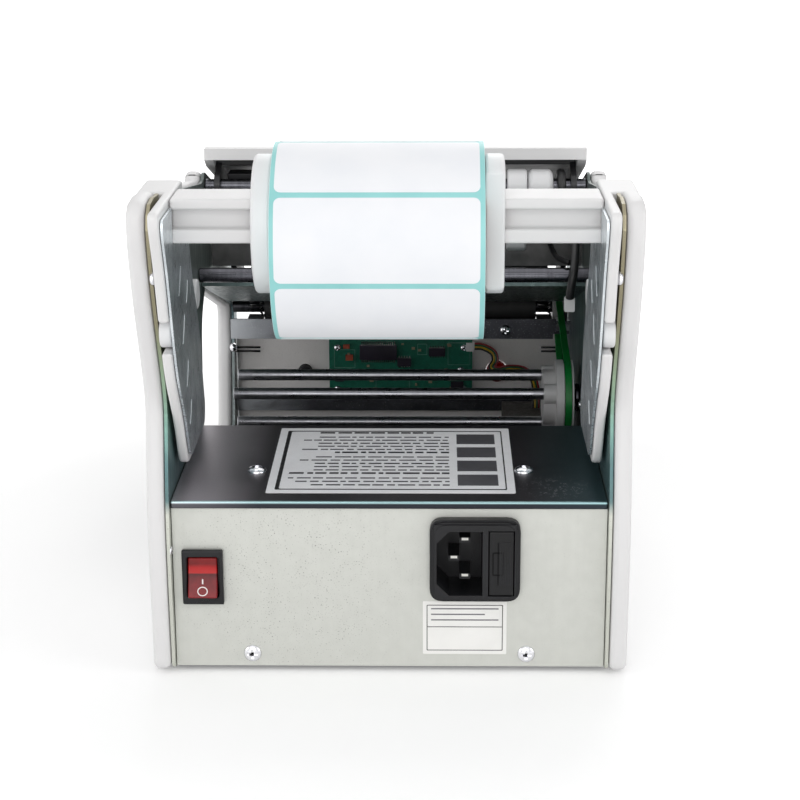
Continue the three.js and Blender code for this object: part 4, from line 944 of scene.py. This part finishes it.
# Screws on the box, the strip and the side plates: places, the way they face, radius and height of the head
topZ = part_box("box_top_plate")[1].z
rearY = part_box("box_rear_plate")[0].y
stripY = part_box("cross_strip_upper")[0].y
screwRows = {
    "topScrews": ([(x * mm, row(0, y, 0).y, topZ) for x, y in ((-50.5, 33), (50.0, 33.4))],
                  (0, 0, 1), 3.7, 2.0),
    "rearScrews": ([(x * mm, rearY, 7.0 * mm) for x in (-50.6, 50.2)], (0, -1, 0), 3.3, 1.6),
    "stripScrews": ([(x * mm, stripY, 74.6 * mm) for x in (-49.1, 49.1)], (0, -1, 0), 2.6, 1.8),
    "armScrewLeft": ([row(-78.9, -18.6, 153.0)], (1, 0, 0), 2.5, 1.3),
    "armScrewRight": ([row(78.9, -18.6, 153.0)], (-1, 0, 0), 2.5, 1.3),
    "sideScrew": ([row(-79.0, -2.7, 48.3)], (1, 0, 0), 1.7, 0.7),
}
for name, (places, facing, radius, height) in screwRows.items():
    screwSet(name, places, facing, radius, height)


# Two stickers with ruled lines and plain blocks, each print a little sunk in what it lies on
stickers = {
    "sunk": 0.02,
    "top": {"x": (-45.2, 46.0), "y": (7.9, 86.2), "corner": 0.7, "thick": 0.12, "seed": 11,
            "frame": (6, 7, 0.8), "frameWide": 2, "frameShift": 0.5, "frameThick": 0.06,
            "margins": (7.0, 7.0, 8), "indents": (0.0, 0.0, 3.0, 9.0, 16.0), "stop": 24.0, "firstStop": 30.0,
            "dash": (1.6, 6.5), "space": (0.7, 1.4), "line": 1.3, "heading": 1.8, "every": 6, "ink": 0.035,
            "gap": 3.9, "headingGap": 5.4, "blocks": 4, "blockStep": 16.5, "block": (15.0, 12.5),
            "blockPlace": (6.0, 8), "blockInk": 0.04},
    "rear": {"x": (12.2, 42.9), "z": (6.9, 27.8), "corner": 0.4, "thick": 0.1, "frame": (2.8, 0.3),
             "frameThick": 0.05, "line": 0.28, "divider": 17.7, "dividerInset": 1.5,
             "rules": (24.6, 22.4, 20.2), "ruleInset": 3, "ruleShorter": 5, "ruleTall": 0.5, "ink": 0.03},
}
sunk = stickers["sunk"] * mm


# The film; what comes back places a print on its face
def film(name, s, width, height, put, material):
    outline = roundedRectangle(width * mm, height * mm, s["corner"] * mm)
    plate(name, outline, put, s["thick"] * mm + sunk, "frame", material)
    return lambda a, b, d: put(a, b, s["thick"] * mm + d)


def topSticker():
    s = stickers["top"]
    (x0, x1), (y0, y1) = s["x"], s["y"]
    wide, deep = x1 - x0, y1 - y0
    middle = row((x0 + x1) / 2, (y0 + y1) / 2, 0)
    level = topZ + s["thick"] * mm

    def printed(x0, y0, x1, y1, thick):
        low, high = row(x0, y0, 0), row(x1, y1, 0)
        return (low.x, low.y, level - sunk), (high.x, high.y, level + thick * mm)

    lift = film("topSticker", s, wide, deep, lambda a, b, d: (middle.x + a, middle.y + b, topZ - sunk + d),
                silverFilm)
    insetX, insetY, corner = s["frame"]
    across, up = wide - insetX, deep - insetY
    outer = roundedRectangle(across * mm, up * mm, corner * mm)
    inner = [(a * (across - s["frameWide"]) / across + s["frameShift"] * mm, b * (up - s["frameWide"]) / up)
             for a, b in outer]
    frameStrip("topStickerFrame", outer, inner, lift, s["frameThick"] * mm, "frame", inkBlack)
    rng = random.Random(s["seed"])
    side, head, foot = s["margins"]
    dashes, rules = [], []
    line, y = 0, y1 - head
    while y > y0 + foot:
        tall = s["line"] if line % s["every"] else s["heading"]
        x = x0 + side + rng.choice(s["indents"])
        stop = x1 - (s["stop"] if line else s["firstStop"])
        while x < stop:
            end = min(x + rng.uniform(*s["dash"]), stop)
            (dashes if line % 3 else rules).append(printed(x, y, end, y + tall, s["ink"]))
            x = end + rng.uniform(*s["space"])
        y -= s["gap"] if line % s["every"] else s["headingGap"]
        line += 1
    blockSet("topStickerLines", dashes, inkDark)
    blockSet("topStickerRules", rules, inkBlack)
    (blockWide, blockTall), (fromRight, fromTop) = s["block"], s["blockPlace"]
    right = x1 - fromRight
    tops = [y1 - fromTop - i * s["blockStep"] for i in range(s["blocks"])]
    boxes = [printed(right - blockWide, top - blockTall, right, top, s["blockInk"]) for top in tops]
    blockSet("topStickerBlocks", boxes, inkDark)


def rearSticker():
    s = stickers["rear"]
    (x0, x1), (z0, z1) = s["x"], s["z"]
    midX, midZ = (x0 + x1) / 2 * mm, (z0 + z1) / 2 * mm
    lift = film("rearSticker", s, x1 - x0, z1 - z0, lambda a, b, d: (midX + a, rearY + sunk - d, midZ + b),
                whiteFilm)
    inset, corner = s["frame"]
    half = s["line"] / 2
    outer = roundedRectangle((x1 - x0 - inset) * mm, (z1 - z0 - inset) * mm, corner * mm)
    inner = [(a - math.copysign(s["line"] * mm, a), b - math.copysign(s["line"] * mm, b)) for a, b in outer]
    frameStrip("rearStickerFrame", outer, inner, lift, s["frameThick"] * mm, "frame", inkBlack)
    lines = [(x0 + s["dividerInset"], s["divider"] - half, x1 - s["dividerInset"], s["divider"] + half)]
    lines += [(x0 + s["ruleInset"], z, x1 - s["ruleInset"] - s["ruleShorter"] * (i % 2), z + s["ruleTall"])
              for i, z in enumerate(s["rules"])]
    face = rearY - s["thick"] * mm
    boxes = [((a * mm, face + sunk, b * mm), (c * mm, face - s["ink"] * mm, d * mm)) for a, b, c, d in lines]
    blockSet("rearStickerRules", boxes[:1], inkBlack)
    blockSet("rearStickerLines", boxes[1:], inkGrey)


topSticker()
rearSticker()
print("stickers are on")


# Circuit board: its slab comes from the CAD, with chips, pins, parts and screen lines on it
board = {
    "face": 234.5, "sunkFace": 234.45, "slabRear": 234.3, "slabFront": 235.9, "slabEdge": 236.3,
    "chip": (-19.5, -1.9, 55.0), "chipPins": 17, "pinInset": 1.0, "pinHalf": 0.22, "pinTall": 1.7,
    "pinRows": (53.4, 61.9), "seed": 3, "small": 26, "spreadX": (-31, 31), "spreadZ": (38, 62),
    "smallX": (0.9, 1.9), "smallZ": (0.7, 1.2), "clear": (1.5, 3),
    "pinOut": 233.6, "sockets": ((-1.0, 51.6, 5), (14.0, 56.6, 6)), "socketStep": 1.25,
    "socketPin": (0.5, 0.9), "socketRows": (-0.8, 4.0), "partOut": 233.8,
    "chips": ((-1.6, 51.6, 5.0, 55.6, 232.9), (13.4, 56.6, 21.2, 60.6, 233.0),
              (-31.5, 44.0, -27.5, 48.5, 233.2), (24.0, 40.0, 30.0, 44.0, 233.0)),
    "orange": ((-26.3, 54.6, -22.8, 57.2, 232.6), (-27.4, 60.4, -24.4, 62.2, 232.8)),
    "areas": ((-31.8, 50.5, -22.0, 59.4), (8.0, 57.0, 12.4, 62.2), (22.5, 52.0, 33.0, 62.8),
              (-12.0, 40.0, 4.0, 48.0)),
    "areaLine": 0.18, "areaOut": 234.3, "screwFoot": 234.4, "plug": ((31.2, 236.0, 58.9), (35.2, 233.4, 63.0)),
    "screws": ((-30.2, 40), (30.2, 40), (-30.2, 60.5), (30.2, 60.5), (-23.9, 48.4), (28.8, 49.5)),
}


# The slab is green, what lies on its rear face black, and the pins' ends at its front bright
def boardPaint(centre, normal):
    y = centre.y / mm - rearPlateY
    if y > board["slabFront"] and not (abs(normal.y) > 0.9 and y < board["slabEdge"]):
        return 2
    return 1 if y < board["slabRear"] else 0


softened("control_board", [boardGreen, chipBlack, brightPin], 0.15 * mm, 1, paint=boardPaint)


# A block on the board from (x0, z0) to (x1, z1), standing out to y
def onBoard(x0, z0, x1, z1, y, face=board["face"]):
    return row(x0, face, z0), row(x1, y, z1)


def boardParts():
    left, right, low = board["chip"]
    sunkFace, thin, step, out = board["sunkFace"], board["areaLine"], board["socketStep"], board["partOut"]
    count, inset, half = board["chipPins"], board["pinInset"], board["pinHalf"]
    pins = []
    for i in range(count):
        x = left + inset + i * (right - left - 2 * inset) / (count - 1)
        pins += [onBoard(x - half, z, x + half, z + board["pinTall"], board["pinOut"], sunkFace)
                 for z in board["pinRows"]]
    wide, tall = board["socketPin"]
    for x0, z0, count in board["sockets"]:
        places = [(x0 + i * step, z0 + up) for i in range(count) for up in board["socketRows"]]
        pins += [onBoard(x, z, x + wide, z + tall, out, sunkFace) for x, z in places]
    blockSet("boardPins", pins, brightPin)
    blockSet("boardChips", [onBoard(*spot) for spot in board["chips"]], chipBlack)
    blockSet("boardOrange", [onBoard(*spot) for spot in board["orange"]], partOrange)
    rng = random.Random(board["seed"])
    small = []
    aside, below = board["clear"]
    for i in range(board["small"]):
        x, z = rng.uniform(*board["spreadX"]), rng.uniform(*board["spreadZ"])
        if not (left - aside < x < right + aside and z > low - below):
            x1, z1 = x + rng.uniform(*board["smallX"]), z + rng.uniform(*board["smallZ"])
            small.append(onBoard(x, z, x1, z1, out))
    blockSet("boardSmall", small, partSand)
    lines = []
    for x0, z0, x1, z1 in board["areas"]:
        sides = ((x0, z0, x1, z0 + thin), (x0, z1, x1, z1 + thin),
                 (x0, z0, x0 + thin, z1), (x1, z0, x1 + thin, z1))
        lines += [onBoard(*side, board["areaOut"], sunkFace) for side in sides]
    blockSet("boardLines", lines, screenInk)
    screwSet("boardScrews", [row(x, board["screwFoot"], z) for x, z in board["screws"]], (0, -1, 0), 1.7, 1.1)
    blockSet("ribbonPlug", [tuple(row(*corner) for corner in board["plug"])], whitePlastic)


boardParts()
print("board is fitted")


# Small fittings between the belt, the strip and the side plates
fitted = {"pins": ((231.5, 59.6), (232.5, 61.2)), "pinEnds": (66.8, 78.6), "pinRadius": 0.5,
          "strapRadius": 1.1,
          "strap": ((62.6, 150.4, 138), (64.0, 147.6, 132), (66.2, 131, 128.6), (67.8, 113, 130.2),
                    (70.2, 104.5, 131)),
          "tab": (((72.2, 214.2, 79.9), (78.6, 205.0, 80.9)), ((72.2, 205.9, 76.5), (78.6, 205.0, 80.9)))}


def fittings():
    near, far = fitted["pinEnds"]
    for side, word in ((-1, "Left"), (1, "Right")):
        for k, (y, z) in enumerate(fitted["pins"]):
            tube("pushPin" + word + str(k), [row(side * far, y, z), row(side * near, y, z)],
                 fitted["pinRadius"] * mm, "frame", blackSatin, 10)
        screwSet("nut" + word, [row(side * 78.9, 226, 62.9)], (-side, -0.4, 0.2), 2.2, 1.8)
    screwSet("plateNut", [row(78.9, 131.2, 63.4)], (-1, -0.2, 0.1), 2.0, 1.6)
    strap = smoothPath([row(*p) for p in fitted["strap"]], 6)
    tube("strap", strap, fitted["strapRadius"] * mm, "frame", blackSatin, 8)
    blockSet("brightTab", [(row(*a), row(*b)) for a, b in fitted["tab"]], chrome)


fittings()


# Bright slanting strokes drawn into the inner faces of the arm liners, only where there is sheet under them
strokes = {"wide": 0.5, "thinner": 0.8, "raised": 0.22, "sunk": 0.03, "bow": 0.8, "steps": 12,
           "lines": ((3, 147, 4.6, 3.4), (9, 128, 4.6, 3.2), (15, 110, 4.2, 3.0), (20, 94, 3.8, 2.8),
                     (21, 139, 3.6, 2.6))}


def linerStrokes():
    steps = strokes["steps"]
    shares = [2 * i / steps - 1 for i in range(steps + 1)]
    half = [strokes["wide"] * mm * (1 - strokes["thinner"] * t * t) for t in shares]
    for word, side in (("left", -1), ("right", 1)):
        name = "arm_liner_" + word
        corners = triangles(name)
        low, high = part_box(name)
        x = high.x if side < 0 else low.x
        for k, (y, z, rise, run) in enumerate(strokes["lines"]):
            middle = row(0, y, z)
            path = [(middle.y + (run * t + strokes["bow"] * (1 - t * t)) * mm, middle.z + rise * t * mm)
                    for t in shares]
            if not all(any(cornerShares(three, spot, 1, 2) for three in corners) for spot in path):
                print("no room for stroke", k, word)
                continue
            outline = [(a - w, b) for (a, b), w in zip(path, half)]
            outline += [(a + w, b) for (a, b), w in reversed(list(zip(path, half)))]
            plate("linerStroke_%s_%d" % (word, k), outline,
                  lambda a, b, d: (x - side * (d - strokes["sunk"] * mm), a, b), strokes["raised"] * mm,
                  "frame", strokePale)


linerStrokes()
print("fittings are in")


# Floor, background and soft studio light: each lamp's place, size and power
studio = {"floor": "#f4f4f4", "reach": 4, "glow": 0.16, "glowFrom": 0.2, "glowTo": 0.8,
          "world": 0.46, "aim": (0, 0, 0.09),
          "lamps": {"overhead": ((0.0, 0.0, 1.6), 1.6, 5.0), "rearWide": ((-0.1, -1.7, 0.75), 1.3, 11.4),
                    "sideLeft": ((-1.3, -0.5, 0.6), 0.9, 4.5), "sideRight": ((1.3, -0.5, 0.6), 0.9, 4.8),
                    "frontHigh": ((0.2, 1.4, 0.9), 1.0, 5.5)}}


# Rays for which the floor and the world look white: the camera's own, reflections and glass
def brightRays(tree):
    rays = addNode(tree, "ShaderNodeLightPath").outputs
    direct = calc(tree, "MAXIMUM", rays["Is Camera Ray"], rays["Is Glossy Ray"])
    return calc(tree, "MAXIMUM", direct, rays["Is Transmission Ray"])


def makeFloor(scene):
    r = studio["reach"]
    mesh = bpy.data.meshes.new("floor")
    mesh.from_pydata([(-r, -r, 0), (r, -r, 0), (r, r, 0), (-r, r, 0)], [], [(0, 1, 2, 3)])
    floor = bpy.data.objects.new("floor", mesh)
    scene.collection.objects.link(floor)
    material, tree, shader = newMaterial("floorFinish", studio["floor"], 0.7)
    mesh.materials.append(material)
    spot = addNode(tree, "ShaderNodeTexCoord").outputs["Object"]
    away = addNode(tree, "ShaderNodeVectorMath", {0: spot}, operation="LENGTH").outputs["Value"]
    far = mapped(tree, away, studio["glowFrom"], studio["glowTo"], studio["glow"], 1.0)
    power = calc(tree, "MULTIPLY", brightRays(tree), far)
    glow = addNode(tree, "ShaderNodeEmission", {"Color": (1, 1, 1, 1), "Strength": power})
    both = addNode(tree, "ShaderNodeAddShader", {0: shader.outputs[0], 1: glow.outputs[0]})
    tree.links.new(both.outputs[0], tree.nodes["Material Output"].inputs["Surface"])


def makeStudio():
    scene = bpy.context.scene
    scene.view_settings.view_transform = "Standard"
    makeFloor(scene)
    world = bpy.data.worlds.new("studio")
    scene.world = world
    world.use_nodes = True
    sky = world.node_tree
    back = sky.nodes["Background"]
    seen = addNode(sky, "ShaderNodeMix", {0: brightRays(sky), 2: studio["world"], 3: 1.0})
    sky.links.new(seen.outputs[0], back.inputs["Strength"])
    back.inputs["Color"].default_value = (1, 1, 1, 1)
    for name, (place, size, power) in studio["lamps"].items():
        data = bpy.data.lights.new(name, "AREA")
        data.size = size
        data.energy = power
        lamp = bpy.data.objects.new(name, data)
        scene.collection.objects.link(lamp)
        lamp.location = place
        down = Vector(studio["aim"]) - Vector(place)
        lamp.rotation_euler = down.to_track_quat("-Z", "Y").to_euler()


makeStudio()
print("studio is lit")
